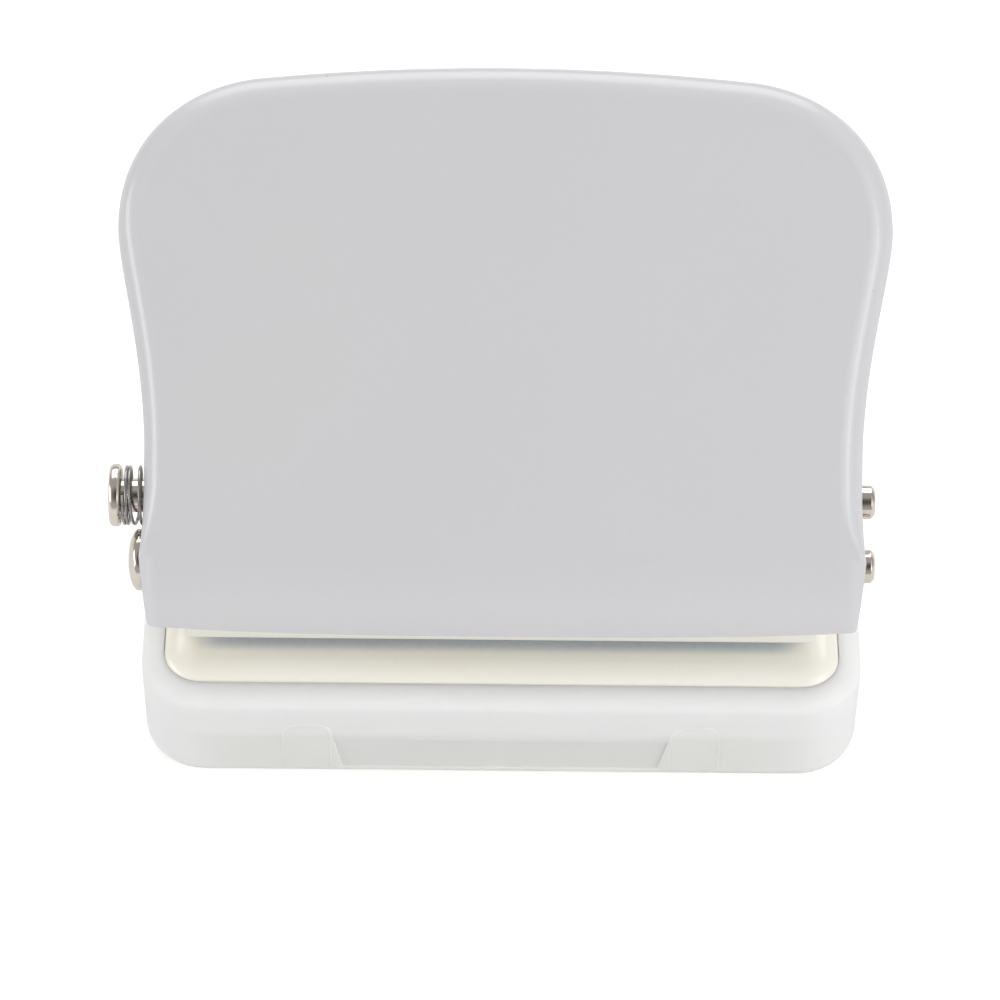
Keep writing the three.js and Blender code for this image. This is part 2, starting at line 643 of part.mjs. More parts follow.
function coverOutline(frontY) {
  const wide = COVER_WIDTH / 2;
  const crown = wide - CORNER_RUN;
  const lip = earOuter - LIP_INSET;
  const bulgeStart = (WIDEST_AT - WAIST_AT) * BULGE_SHARE;
  const waistEnd = (WIDEST_AT - WAIST_AT) * WAIST_SHARE;
  const cornerRise = (CROWN_AT - WIDEST_AT) * CORNER_RISE_SHARE;
  const cornerRun = CORNER_RUN * CORNER_RUN_SHARE;
  const cornerDrop = (COVER_REACH - CROWN_AT) * CORNER_DROP_SHARE;
  const crownRun = crown * CROWN_RUN_SHARE;
  const crownRise = (COVER_REACH - CROWN_AT) * CROWN_RISE_SHARE;
  const shape = new THREE.Shape();
  shape.moveTo(-lip, frontY);
  shape.lineTo(lip, frontY);
  shape.lineTo(earOuter, LIP_CREASE_AT);
  shape.lineTo(earOuter, WAIST_AT);
  shape.bezierCurveTo(earOuter, WAIST_AT + waistEnd, wide, WIDEST_AT - bulgeStart, wide, WIDEST_AT);
  shape.bezierCurveTo(
    wide, WIDEST_AT + cornerRise, crown + cornerRun, CROWN_AT - cornerDrop, crown, CROWN_AT,
  );
  shape.bezierCurveTo(2 * crownRun, CROWN_AT + crownRise, crownRun, COVER_REACH, 0, COVER_REACH);
  shape.bezierCurveTo(-crownRun, COVER_REACH, -2 * crownRun, CROWN_AT + crownRise, -crown, CROWN_AT);
  shape.bezierCurveTo(
    -crown - cornerRun, CROWN_AT - cornerDrop, -wide, WIDEST_AT + cornerRise, -wide, WIDEST_AT,
  );
  shape.bezierCurveTo(-wide, WIDEST_AT - bulgeStart, -earOuter, WAIST_AT + waistEnd, -earOuter, WAIST_AT);
  shape.lineTo(-earOuter, LIP_CREASE_AT);
  return shape;
}

function leverCover() {
  const outside = lipCurve();
  const inside = lipInside(outside);
  const tip = outside[LIP_STEPS];
  const back = COVER_REACH + OVERRUN;
  const earBottom = COVER_RISE - EAR_DEPTH;
  const flangeBottom = COVER_RISE - FLANGE_DEPTH;
  const deep = earBottom - 2 * EDGE_ROLL - OVERRUN;
  const wide = COVER_WIDTH / 2 + OVERRUN;
  const outline = coverOutline(tip[0] - EDGE_ROLL);
  const lipEars = inside.filter(([y]) => y < -EAR_FRONT);
  const side = new THREE.Shape();
  side.moveTo(back, COVER_RISE + OVERRUN);
  side.lineTo(LIP_CREASE_AT, COVER_RISE + OVERRUN);
  outside.forEach(([y, z]) => side.lineTo(y, z));
  lipEars.reverse().forEach(([y, z]) => side.lineTo(y, z));
  side.absarc(0, 0, EAR_FRONT, THREE.MathUtils.degToRad(EAR_FRONT_START_DEGREES), 1.5 * Math.PI);
  side.lineTo(EAR_BACK, earBottom);
  side.lineTo(EAR_BACK + EAR_SLOPE, flangeBottom);
  side.lineTo(back, flangeBottom);
  const below = polygon([
    [back, COVER_RISE - COVER_SHEET], ...inside,
    [tip[0] - OVERRUN, inside[LIP_STEPS][1] - OVERRUN], [tip[0] - OVERRUN, deep], [back, deep],
  ]);
  const outer = solid(roundedSlab(outline, deep, COVER_RISE, EDGE_ROLL, 0, OUTLINE_SEGMENTS))
    .intersect(solid(prismAlongX(side, -wide, wide)));
  const insideTop = COVER_RISE - COVER_SHEET;
  const insideRoll = EDGE_ROLL - COVER_SHEET;
  const inner = solid(roundedSlab(
    outline, deep - OVERRUN, insideTop, insideRoll, COVER_SHEET, OUTLINE_SEGMENTS,
  )).intersect(solid(prismAlongX(below, -wide, wide)));
  const hole = shaftRadius + RUNNING_GAP;
  return cut(
    outer.subtract(inner),
    rodAlongX(hole, -wide, wide),
    rodAlongX(hole, -wide, wide, SHAFT_SPACING),
  );
}
addPiece(lever, 'lever_cover', geometryOf(leverCover()), greyPaint());

// Pivot shaft: domed head at the left, chamfered end at the right
const shaftEnd = earOuter + SHAFT_END_STANDOUT;
const clipOuterRadius = shaftRadius - GROOVE_DEPTH + CLIP_GAP + CLIP_WIDTH;

function groove(from) {
  const radius = shaftRadius - GROOVE_DEPTH;
  const to = from + CLIP_THICKNESS + 2 * CLIP_GAP;
  return [[shaftRadius, from], [radius, from], [radius, to], [shaftRadius, to]];
}

const pivotGroove = earInner - RUNNING_GAP - CLIP_THICKNESS - CLIP_GAP;
function pivotShaft() {
  const dome = DOME_DIAMETER / 2;
  const seat = -earOuter - RUNNING_GAP;
  const rise = DOME_HEIGHT - DOME_RIM;
  const crown = Array.from({ length: DOME_STEPS }, (_, i) => {
    const angle = (i / DOME_STEPS) * (Math.PI / 2);
    return [dome * Math.sin(angle), seat - DOME_RIM - rise * Math.cos(angle)];
  });
  return turnedAlongX([
    ...crown, [dome, seat - DOME_RIM], [dome, seat], [shaftRadius, seat],
    ...groove(pivotGroove),
    [shaftRadius, shaftEnd - SHAFT_CHAMFER], [shaftRadius - SHAFT_CHAMFER, shaftEnd], [0, shaftEnd],
  ]);
}
addPiece(lever, 'pivot_shaft', pivotShaft(), nickel());

function clipAlongX(parent, name, grooveFrom) {
  const geometry = retainingClip(shaftRadius - GROOVE_DEPTH, clipOuterRadius).rotateY(Math.PI / 2);
  const clip = addPiece(parent, name, geometry, springSteel());
  clip.position.x = grooveFrom + CLIP_GAP;
  return clip;
}
clipAlongX(lever, 'pivot_clip', pivotGroove);

// Bushes on the pivot shaft between the frame's ears and the lever's ears
function bush(x0, x1) {
  const bore = shaftRadius + RUNNING_GAP;
  const outer = clipOuterRadius;
  return turnedAlongX([[bore, x0], [outer, x0], [outer, x1], [bore, x1], [bore, x0]]);
}
const bushes = new THREE.Group();
bushes.position.z = pivotHeight;
chassis.add(bushes);
const bushStart = frameOuter + RUNNING_GAP;
addPiece(bushes, 'pivot_bush_left', bush(-earInner + RUNNING_GAP, -bushStart), nickel());
addPiece(bushes, 'pivot_bush_right', bush(bushStart, pivotGroove + CLIP_GAP - RUNNING_GAP), nickel());

// Lock shaft with its knob; a neck lets it swing in the frame's left ear until it is pushed in
const lock = new THREE.Group();
lock.position.y = SHAFT_SPACING;
lever.add(lock);
const knobStandout = KNOB_PUSHED_STANDOUT + LOCK_TRAVEL;
const knobInner = -earOuter - knobStandout;
const lockGroove = -earInner + RUNNING_GAP - CLIP_GAP;

function lockShaft() {
  const knob = KNOB_DIAMETER / 2;
  const neck = NECK_DIAMETER / 2;
  const knobOuter = knobInner - KNOB_THICKNESS;
  const edge = KNOB_ROUND * (1 - Math.SQRT1_2);
  return turnedAlongX([
    [0, knobOuter], [knob - KNOB_ROUND, knobOuter], [knob - edge, knobOuter + edge],
    [knob, knobOuter + KNOB_ROUND], [knob, knobInner - KNOB_ROUND / 2],
    [knob - KNOB_ROUND / 2, knobInner], [shaftRadius, knobInner],
    ...groove(lockGroove),
    [shaftRadius, -frameOuter - RUNNING_GAP], [neck, -frameOuter - RUNNING_GAP],
    [neck, -frameInner + RUNNING_GAP], [shaftRadius, -frameInner + RUNNING_GAP],
    [shaftRadius, shaftEnd - SHAFT_CHAMFER], [shaftRadius - SHAFT_CHAMFER, shaftEnd], [0, shaftEnd],
  ]);
}
addPiece(lock, 'lock_shaft', lockShaft(), nickel());
clipAlongX(lock, 'lock_clip', lockGroove);

// Lock spring between the knob and the lever's left ear
const lockSpringHeight = knobStandout - 2 * SPRING_SEAT_GAP;
const lockSpringRadius = (LOCK_SPRING_DIAMETER - LOCK_SPRING_WIRE) / 2;
const lockSpringWire = helixWire(lockSpringRadius, LOCK_SPRING_WIRE, lockSpringHeight, LOCK_SPRING_TURNS);
const lockSpringGeometry = lockSpringWire.geometry.rotateY(Math.PI / 2);
const lockSpring = addPiece(lock, 'lock_spring', lockSpringGeometry, springSteel());
lockSpring.position.x = knobInner + SPRING_SEAT_GAP;
console.log('lock spring: least gap between its turns', lockSpringWire.gap.toFixed(3), 'mm');

// The origin moves to the middle of the bounding box, on the table
punch.updateMatrixWorld(true);
const reach = new THREE.Box3().setFromObject(punch, true);
punch.position.set(-(reach.min.x + reach.max.x) / 2, -(reach.min.y + reach.max.y) / 2, -reach.min.z);
punch.updateMatrixWorld(true);
console.log('shift to the origin', punch.position.toArray().map((v) => v.toFixed(3)).join(' '));
console.log('punch travel', pinTravel.toFixed(3), 'mm, pins at y', pinsY.toFixed(3));

export default punch;
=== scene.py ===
import math

import bmesh
import bpy
from mathutils import Matrix, Vector
from mathutils.geometry import interpolate_bezier


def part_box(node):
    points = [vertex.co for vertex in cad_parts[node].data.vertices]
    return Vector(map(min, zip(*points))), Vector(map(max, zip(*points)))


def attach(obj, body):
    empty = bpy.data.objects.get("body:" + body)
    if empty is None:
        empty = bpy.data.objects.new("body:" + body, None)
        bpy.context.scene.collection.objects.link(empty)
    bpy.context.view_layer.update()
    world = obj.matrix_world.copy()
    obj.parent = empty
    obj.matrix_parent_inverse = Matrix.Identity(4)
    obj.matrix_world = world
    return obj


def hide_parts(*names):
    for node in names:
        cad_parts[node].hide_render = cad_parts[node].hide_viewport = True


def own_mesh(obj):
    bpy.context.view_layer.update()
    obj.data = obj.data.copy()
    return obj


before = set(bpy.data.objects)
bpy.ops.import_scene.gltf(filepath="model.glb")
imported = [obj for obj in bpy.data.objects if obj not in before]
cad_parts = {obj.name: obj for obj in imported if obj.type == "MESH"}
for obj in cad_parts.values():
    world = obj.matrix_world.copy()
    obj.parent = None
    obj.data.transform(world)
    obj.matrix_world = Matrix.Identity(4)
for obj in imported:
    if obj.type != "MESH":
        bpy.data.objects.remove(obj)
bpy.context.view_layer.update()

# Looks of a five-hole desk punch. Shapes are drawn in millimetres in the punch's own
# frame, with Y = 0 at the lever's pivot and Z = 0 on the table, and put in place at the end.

MM = 0.001
SHIFT = Vector((0.5, -22.1, 0.0))  # from the punch's own frame to the row's

# Sizes, which are the solids' as far as the solids have them

# Lever
PIVOT_HEIGHT = 32.5
RAISED = math.radians(40)
COVER_SHEET = 1.2
COVER_RISE = 7.0
COVER_REACH = 65.2
COVER_HALF = 51.0
EAR_OUTER = 47.3
EAR_INNER = 46.1
WIDEST_AT = 43.8
WAIST_AT = 14.0
CROWN_AT = 63.5
CROWN_HALF = 33.0
FLANGE_DEPTH = 5.0
EAR_DEPTH = 11.4
EAR_BACK = 12.6
EAR_SLOPE = 9.0
EAR_FRONT = 4.4
LIP_CREASE_AT = 0.5
LIP_LENGTH = 10.5
LIP_END = math.radians(45)
LIP_INSET = 0.6

# Shafts, clips and the lock spring
RUNNING_GAP = 0.3
SHAFT_SPACING = 8.5
SHAFT_RADIUS = 2.25
SHAFT_CHAMFER = 0.5
HOLE_RADIUS = 2.55
SHAFT_END = 49.2
GROOVE_RADIUS = 1.75
NECK_RADIUS = 1.5
DOME_RADIUS = 4.1
DOME_RIM = 0.5
DOME_HEIGHT = 1.9
KNOB_RADIUS = 4.15
KNOB_THICKNESS = 1.5
KNOB_ROUND = 0.6
KNOB_STANDOUT = 3.2
CLIP_OUTER = 3.45
CLIP_THICKNESS = 0.6
CLIP_GAP = 0.2
PIVOT_GROOVE_AT = EAR_INNER - 1.1
LOCK_GROOVE_AT = -EAR_INNER + 0.1
BUSH_END = 44.9
LOCK_WIRE = 0.21
LOCK_COIL = 3.79
SPRING_SEAT_GAP = 0.15

# Bridge frame, rivets, pins and return springs
FRAME_OUTER = 42.0
FRAME_INNER = 40.8
FRAME_FRONT = 3.7
PAPER_STOP = 15.7
SLOT_TOP = 20.0
CHANNEL_TOP = 25.2
RIVET_PLACES = [-26.0, 0.0, 26.0]
RIVET_HEAD = 2.6
RIVET_SHANK = 1.5
RIVET_DOME = 1.1
RIVET_FLAT = 0.55
PIN_PLACES = [-19.0, -9.5, 0.0, 9.5, 19.0]
PINS_Y = 7.506
PIN_RADIUS = 2.75
PIN_GROOVE = 2.25
PIN_CHAMFER = 0.4
PIN_NOTCH = 0.8
PIN_CLIP_OUTER = 3.95
PIN_WIRE = 0.225
PIN_COIL = 3.475

# Base plate and chip tray
PLATE_TOP = 18.2
PLATE_SIZE = (90.9, 60.6)
PLATE_CORNER = 4.5
PLATE_SHEET = 1.2
PLATE_SKIRT = 8.2
PIN_HOLE = 3.05
RIVET_HOLE = 1.8
TRAY_MIDDLE = 22.1
TRAY_SIZE = (97.3, 67.0)
TRAY_CORNER = 8.5
TRAY_HEIGHT = 16.4
TRAY_WALL = 1.4
TRAY_FLOOR = 1.4
TRAY_FOOT = 2.5
TRAY_RIM = 1.2
RIB_PLACES = (-36, 0, 36)
RECESS_LOW = 2.2
RECESS_HIGH = 8.2

# Sizes of the looks alone
LIP_START = math.radians(6)
LIP_CORNER = 0.7
LIP_BOW = 1.35  # the lip is this much longer in its middle
BOW_LINES = (0, 10, 19, 27, 34, 39, 42)
CREASE_FLARE = 0.35
EDGE_ROLL = 3.5
ROLL_TAPER = 9.5
EDGE_LINES = (46.2, 44.8, 43.2)  # cuts that keep the wear of the sheet's edges near its edges
SHARP_EDGE = 50  # degrees, past which a sheet's edge is rounded
TONGUE_PLACES = (-26.2, 26.2)
RECESS_HALF = 22.6
RECESS_SLANT = 1.2

LEVER_PLACE = Matrix.Translation((0, 0, PIVOT_HEIGHT)) @ Matrix.Rotation(RAISED, 4, "X")
LOCK_PLACE = LEVER_PLACE @ Matrix.Translation((0, SHAFT_SPACING, 0))
PIVOT_PLACE = Matrix.Translation((0, 0, PIVOT_HEIGHT))
ROW_PLACE = Matrix.Scale(MM, 4) @ Matrix.Translation(SHIFT)


# Camera, at the photograph's angle
def stand_camera():
    """Looks along the raised lever's top normal; aside and above place the pivot in the picture."""
    elevation = math.radians(50)
    tilt = math.radians(0.55)
    distance, aside, above = 0.6, 0.000397, 0.00834
    pivot = ROW_PLACE @ Vector((0, 0, PIVOT_HEIGHT))
    up = Vector((0, math.sin(elevation), math.cos(elevation)))
    look = Vector((0, math.cos(elevation), -math.sin(elevation)))
    data = bpy.data.cameras.new("camera")
    data.sensor_width = 36
    data.lens = 163.1
    data.clip_start = 0.01
    camera = bpy.data.objects.new("camera", data)
    bpy.context.scene.collection.objects.link(camera)
    right = Vector((1, 0, 0))
    turn = Matrix((right, up, -look)).transposed().to_4x4()
    roll = Matrix.Rotation(tilt, 4, "Z")
    place = pivot - aside * right + above * up - distance * look
    camera.matrix_world = Matrix.Translation(place) @ turn @ roll
    bpy.context.scene.camera = camera


stand_camera()


# Shader helpers
def shader(name):
    material = bpy.data.materials.new(name)
    material.use_nodes = True
    tree = material.node_tree
    return material, tree, tree.nodes["Principled BSDF"]


def step(tree, kind, inputs=None, **settings):
    made = tree.nodes.new(kind)
    for key, value in settings.items():
        setattr(made, key, value)
    for key, value in (inputs or {}).items():
        if isinstance(value, bpy.types.NodeSocket):
            tree.links.new(value, made.inputs[key])
        else:
            made.inputs[key].default_value = value
    return made


def place_of(tree, scale=(1, 1, 1)):
    where = step(tree, "ShaderNodeTexCoord").outputs["Object"]
    return step(tree, "ShaderNodeMapping", {"Vector": where, "Scale": scale}).outputs["Vector"]


def cloud(tree, where, scale, detail=3.0, roughness=0.5):
    made = step(tree, "ShaderNodeTexNoise", {
        "Vector": where, "Scale": scale, "Detail": detail, "Roughness": roughness,
    })
    return made.outputs["Fac"]


def spots(tree, where, scale, size):
    near = step(tree, "ShaderNodeTexVoronoi", {"Vector": where, "Scale": scale, "Randomness": 1.0})
    return spread(tree, near.outputs["Distance"], size, 0.6 * size, 0.0, 1.0)


def spread(tree, value, low, high, to_low, to_high):
    made = step(tree, "ShaderNodeMapRange", {
        "Value": value, "From Min": low, "From Max": high, "To Min": to_low, "To Max": to_high,
    })
    return made.outputs["Result"]


def smooth(tree, value, low, high):
    """A soft step from 0 at low to 1 at high."""
    made = step(tree, "ShaderNodeMapRange", {
        "Value": value, "From Min": low, "From Max": high, "To Min": 0.0, "To Max": 1.0,
    }, interpolation_type="SMOOTHSTEP")
    return made.outputs["Result"]


def tint(tree, share, first, second):
    made = step(tree, "ShaderNodeMix", data_type="RGBA")
    for socket, value in ((0, share), (6, first), (7, second)):
        if isinstance(value, bpy.types.NodeSocket):
            tree.links.new(value, made.inputs[socket])
        else:
            made.inputs[socket].default_value = value if socket == 0 else (*value, 1)
    return made.outputs[2]


def times(tree, first, second, operation="MULTIPLY"):
    return step(tree, "ShaderNodeMath", {0: first, 1: second}, operation=operation).outputs[0]


def relief(tree, height, strength, depth, below=None):
    inputs = {"Height": height, "Strength": strength, "Distance": depth}
    if below is not None:
        inputs["Normal"] = below
    return step(tree, "ShaderNodeBump", inputs).outputs["Normal"]


def bend_of(tree):
    """High on outer edges, low in corners."""
    return step(tree, "ShaderNodeNewGeometry").outputs["Pointiness"]


def aside_of(tree, axes):
    """Distance to the middle of the row along X."""
    return step(tree, "ShaderNodeMath", {0: axes["X"]}, operation="ABSOLUTE").outputs[0]


def from_centre(tree):
    centre = step(tree, "ShaderNodeTexCoord").outputs["Object"]
    return step(tree, "ShaderNodeVectorMath", {0: centre}, operation="LENGTH").outputs["Value"]


def seen_by_camera(tree):
    """1 for what the camera sees, also through plastic, and 0 for light and reflections."""
    rays = step(tree, "ShaderNodeLightPath").outputs
    return times(tree, rays["Is Camera Ray"], rays["Is Transmission Ray"], "MAXIMUM")


def linear(red, green, blue):
    """A colour as shaders take it, from screen values of 0 to 255."""
    def one(value):
        share = value / 255
        return share / 12.92 if share <= 0.04045 else ((share + 0.055) / 1.055) ** 2.4
    return one(red), one(green), one(blue)


def gloss_paint(name, colour, warm, worn, roughness, coat, slot_shadow=None):
    """Sprayed paint: slow drift of the colour, orange peel, dust nibs and edges worn lighter.

    Given its last argument, a painted shadow is laid on the patch inside the paper slot: it starts
    softly along Y at the slot's mouth, ends at the sheets' stop, and reaches so many metres to each
    side.
    """
    material, tree, bsdf = shader(name)
    where = place_of(tree)
    drift = cloud(tree, where, 28, 2)
    fine = cloud(tree, where, 1400, 3)
    base = tint(tree, spread(tree, drift, 0.35, 0.65, 0, 1), colour, warm)
    mist = spread(tree, fine, 0.3, 0.7, 0, 0.4)
    base = tint(tree, mist, base, tuple(0.975 * c for c in colour))
    nibs = spots(tree, where, 75, 0.028)
    base = tint(tree, times(tree, nibs, 0.3), base, tuple(0.45 * c for c in colour))
    base = tint(tree, spread(tree, bend_of(tree), 0.53, 0.62, 0, 0.5), base, worn)
    # Painted shadow inside the paper slot, fading in at its mouth, with faint streaks
    if slot_shadow:
        start, full, stop, reach, grey = slot_shadow
        axes = step(tree, "ShaderNodeSeparateXYZ", {"Vector": where}).outputs
        streaky = spread(tree, fine, 0.2, 0.8, 0.8, 1.0)
        share = times(tree, smooth(tree, axes["Y"], start, full), streaky)
        share = times(tree, share, smooth(tree, axes["Y"], stop, stop - 0.001))
        share = times(tree, share, smooth(tree, aside_of(tree, axes), reach, reach - 0.005))
        base = tint(tree, share, base, grey)
    tree.links.new(base, bsdf.inputs["Base Color"])
    tree.links.new(spread(tree, drift, 0.3, 0.7, roughness - 0.02, roughness + 0.03),
                   bsdf.inputs["Roughness"])
    peel = cloud(tree, where, 900, 2)
    waves = cloud(tree, where, 45, 1)
    normal = relief(tree, peel, 0.12, 0.00004)
    normal = relief(tree, waves, 0.1, 0.0003, normal)
    normal = relief(tree, nibs, 0.4, 0.00006, normal)
    tree.links.new(normal, bsdf.inputs["Normal"])
    bsdf.inputs["Coat Weight"].default_value = coat
    bsdf.inputs["Coat Roughness"].default_value = 0.07
    return material


def turned_metal(name, colour, dull, roughness, axis, lines):
    """Bare or plated metal with fine turning marks across its axis and faint stains."""
    material, tree, bsdf = shader(name)
    where = place_of(tree)
    stain = cloud(tree, where, 160, 4)
    base = tint(tree, spread(tree, stain, 0.45, 0.75, 0, 1), colour, dull)
    # Darker in concave corners and grooves, where pointiness is low
    concave_tone = tuple(0.35 * c for c in dull)
    base = tint(tree, spread(tree, bend_of(tree), 0.40, 0.50, 0.6, 0), base, concave_tone)
    tree.links.new(base, bsdf.inputs["Base Color"])
    squeezed = [60.0, 60.0, 60.0]
    squeezed["XYZ".index(axis)] = lines
    marks = cloud(tree, place_of(tree, squeezed), 1.0, 3, 0.7)
    fine = cloud(tree, where, 700, 2)
    rough = times(tree, spread(tree, marks, 0.3, 0.7, -0.04, 0.06),
                  spread(tree, fine, 0.3, 0.7, roughness - 0.03, roughness + 0.04), "ADD")
    tree.links.new(rough, bsdf.inputs["Roughness"])
    normal = relief(tree, marks, 0.25, 0.00002)
    tree.links.new(relief(tree, stain, 0.1, 0.00005, normal), bsdf.inputs["Normal"])
    bsdf.inputs["Metallic"].default_value = 1.0
    return material


def frosted(name):
    """Frosted see-through plastic: fine blasted grain, cloudy patches and faint flow streaks.

    The lower part of its wall, away from its ends, is painted a slightly darker band: painted shade
    of the hollow tray behind it.
    """
    material, tree, bsdf = shader(name)
    where = place_of(tree)
    patch = cloud(tree, where, 40, 3)
    base = tint(tree, spread(tree, patch, 0.35, 0.65, 0, 1),
                (0.985, 0.982, 0.945), (0.97, 0.97, 0.93))
    grain = cloud(tree, where, 1500, 2, 0.6)
    base = tint(tree, spread(tree, grain, 0.35, 0.7, 0, 0.25), base, (0.97, 0.97, 0.96))
    # Painted highlight: convex edges and the ridges' edges are painted lighter
    base = tint(tree, spread(tree, bend_of(tree), 0.52, 0.60, 0, 0.7), base, (0.98, 0.98, 0.97))
    axes = step(tree, "ShaderNodeSeparateXYZ", {"Vector": where}).outputs
    # Painted shade: the lower wall between the ends is painted darker, as the hollow behind it
    # looks
    under = smooth(tree, axes["Z"], 0.0108, 0.0084)
    over = smooth(tree, axes["Z"], 0.0002, 0.0022)
    between = smooth(tree, aside_of(tree, axes), 0.047, 0.034)
    see_through_shade = times(tree, times(tree, under, over), between)
    base = tint(tree, times(tree, see_through_shade, 0.8), base, (0.815, 0.82, 0.78))
    tree.links.new(base, bsdf.inputs["Base Color"])
    streaks = cloud(tree, place_of(tree, (30.0, 30.0, 400.0)), 1.0, 2)
    rough = times(tree, spread(tree, streaks, 0.3, 0.7, -0.04, 0.04),
                  spread(tree, grain, 0.3, 0.7, 0.42, 0.55), "ADD")
    tree.links.new(rough, bsdf.inputs["Roughness"])
    tree.links.new(relief(tree, grain, 0.25, 0.00003), bsdf.inputs["Normal"])
    bsdf.inputs["Transmission Weight"].default_value = 0.1
    bsdf.inputs["IOR"].default_value = 1.4
    bsdf.inputs["Subsurface Weight"].default_value = 0.8
    bsdf.inputs["Subsurface Scale"].default_value = 0.0028
    bsdf.inputs["Subsurface Radius"].default_value = (1.0, 1.0, 0.95)
    return material


# Painted shadow in the paper slot: start, full, stop and reach in metres, then its bluish grey
SLOT_SHADOW_PAINT = (-0.0263, -0.0245, -0.0068, 0.042, linear(190, 195, 202))
TURNED, DRAWN = 2500.0, 900.0  # marks to the metre on turned pieces and on wire and clips
lever_paint = gloss_paint(
    "lever_paint", linear(201, 201, 204), linear(202, 201, 202), linear(211, 211, 213), 0.32, 0.22)
frame_paint = gloss_paint(
    "frame_paint", linear(230, 229, 219), linear(231, 230, 222), linear(234, 233, 225), 0.3, 0.2)
# The plate's paint carries the painted shadow in the paper slot
plate_paint = gloss_paint(
    "plate_paint", linear(241, 238, 225), linear(241, 239, 229), linear(247, 246, 239), 0.3, 0.5,
    SLOT_SHADOW_PAINT)
plating = turned_metal(
    "nickel_plating", (0.78, 0.72, 0.65), (0.63, 0.57, 0.51), 0.14, "X", TURNED)
pin_steel = turned_metal(
    "ground_pin_steel", (0.46, 0.46, 0.47), (0.33, 0.33, 0.34), 0.26, "Z", TURNED)
wire_steel = turned_metal(
    "spring_wire", (0.40, 0.39, 0.38), (0.28, 0.27, 0.26), 0.24, "Z", DRAWN)
clip_steel = turned_metal(
    "clip_steel", (0.30, 0.30, 0.31), (0.20, 0.20, 0.21), 0.34, "Z", DRAWN)
tray_plastic = frosted("frosted_tray_plastic")


# Mesh helpers
def angle_of(edge):
    return edge.calc_face_angle(0.0) if len(edge.link_faces) == 2 else 0.0


def ease(bm, offset, segments=3, sharper=30, chosen=None):
    """Rounds the edges that are sharper than so many degrees."""
    bm.normal_update()
    edges = [e for e in bm.edges
             if angle_of(e) > math.radians(sharper) and (not chosen or chosen(e))]
    bmesh.ops.bevel(
        bm, geom=edges, offset=offset, offset_type="OFFSET", affect="EDGES", segments=segments,
        profile=0.5, material=-1, clamp_overlap=True,
    )


def grow(bm, chain, places, closed=False):
    """Extrudes a chain of vertices and moves what grew to the given places."""
    pairs = list(zip(chain, chain[1:]))
    if closed:
        pairs.append((chain[-1], chain[0]))
    edges = [bm.edges.get(pair) for pair in pairs]
    made = bmesh.ops.extrude_edge_only(bm, edges=edges)["geom"]
    fresh = {v for v in made if isinstance(v, bmesh.types.BMVert)}
    ends = []
    for vert in chain:
        beside = [e.other_vert(vert) for e in vert.link_edges]
        ends.append(next(other for other in beside if other in fresh))
    for vert, place in zip(ends, places):
        vert.co = place
    return ends


def turned(profile, axis="X", steps=72, soft=0.12, sharper=30):
    """A turned piece from (radius, place along the axis) pairs, its edges slightly rounded."""
    bm = bmesh.new()
    ring = [bm.verts.new((a, r, 0) if axis == "X" else (r, 0, a)) for r, a in profile]
    edges = [bm.edges.new(pair) for pair in zip(ring, ring[1:])]
    direction = (1, 0, 0) if axis == "X" else (0, 0, 1)
    bmesh.ops.spin(
        bm, geom=ring + edges, cent=(0, 0, 0), axis=direction, angle=2 * math.pi, steps=steps,
        use_merge=True,
    )
    bmesh.ops.remove_doubles(bm, verts=bm.verts, dist=1e-4)
    bmesh.ops.recalc_face_normals(bm, faces=bm.faces)
    ease(bm, soft, 3, sharper)
    return bm


def block(x0, x1, y0, y1, z0, z1):
    bm = bmesh.new()
    bmesh.ops.create_cube(bm, size=1)
    bmesh.ops.scale(bm, vec=(x1 - x0, y1 - y0, z1 - z0), verts=bm.verts)
    bmesh.ops.translate(bm, vec=((x0 + x1) / 2, (y0 + y1) / 2, (z0 + z1) / 2), verts=bm.verts)
    return bm


def rod(radius, start, end, steps):
    """A plain round bar between two points, used as a cutter."""
    bm = bmesh.new()
    start, end = Vector(start), Vector(end)
    length = (end - start).length
    bmesh.ops.create_cone(
        bm, cap_ends=True, segments=steps, radius1=radius, radius2=radius, depth=length,
    )
    turn = Vector((0, 0, 1)).rotation_difference(end - start).to_matrix().to_4x4()
    bm.transform(Matrix.Translation((start + end) / 2) @ turn)
    return bm


def prism(outline, start, end, axis="X"):
    """A closed outline stood up between two places along an axis."""
    bm = bmesh.new()
    order = {
        "X": lambda a, b, along: (along, a, b),
        "Y": lambda a, b, along: (a, along, b),
    }[axis]
    face = bm.faces.new([bm.verts.new(order(a, b, start)) for a, b in outline])
    made = bmesh.ops.extrude_face_region(bm, geom=[face])["geom"]
    moved = [v for v in made if isinstance(v, bmesh.types.BMVert)]
    shift = Vector(order(0, 0, end)) - Vector(order(0, 0, start))
    bmesh.ops.translate(bm, vec=shift, verts=moved)
    bmesh.ops.recalc_face_normals(bm, faces=bm.faces)
    return bm


def linked(bm, name):
    """A new object of the scene from a finished bmesh."""
    mesh = bpy.data.meshes.new(name)
    bm.to_mesh(mesh)
    bm.free()
    made = bpy.data.objects.new(name, mesh)
    bpy.context.scene.collection.objects.link(made)
    return made


def object_from(bm, name, place=Matrix.Identity(4)):
    """A piece drawn in millimetres, put at its place in the row."""
    bm.transform(ROW_PLACE @ place)
    return linked(bm, name)


def face_up(bm):
    """Turns an open sheet so that its largest face looks up."""
    if max(bm.faces, key=lambda f: f.calc_area()).normal.z < 0:
        bmesh.ops.reverse_faces(bm, faces=bm.faces)


def settle(piece):
    """Turns a piece's modifiers into plain mesh."""
    bpy.context.view_layer.update()
    ready = piece.evaluated_get(bpy.context.evaluated_depsgraph_get())
    old = piece.data
    piece.data = bpy.data.meshes.new_from_object(ready)
    piece.data.name = piece.name
    piece.modifiers.clear()
    bpy.data.meshes.remove(old)


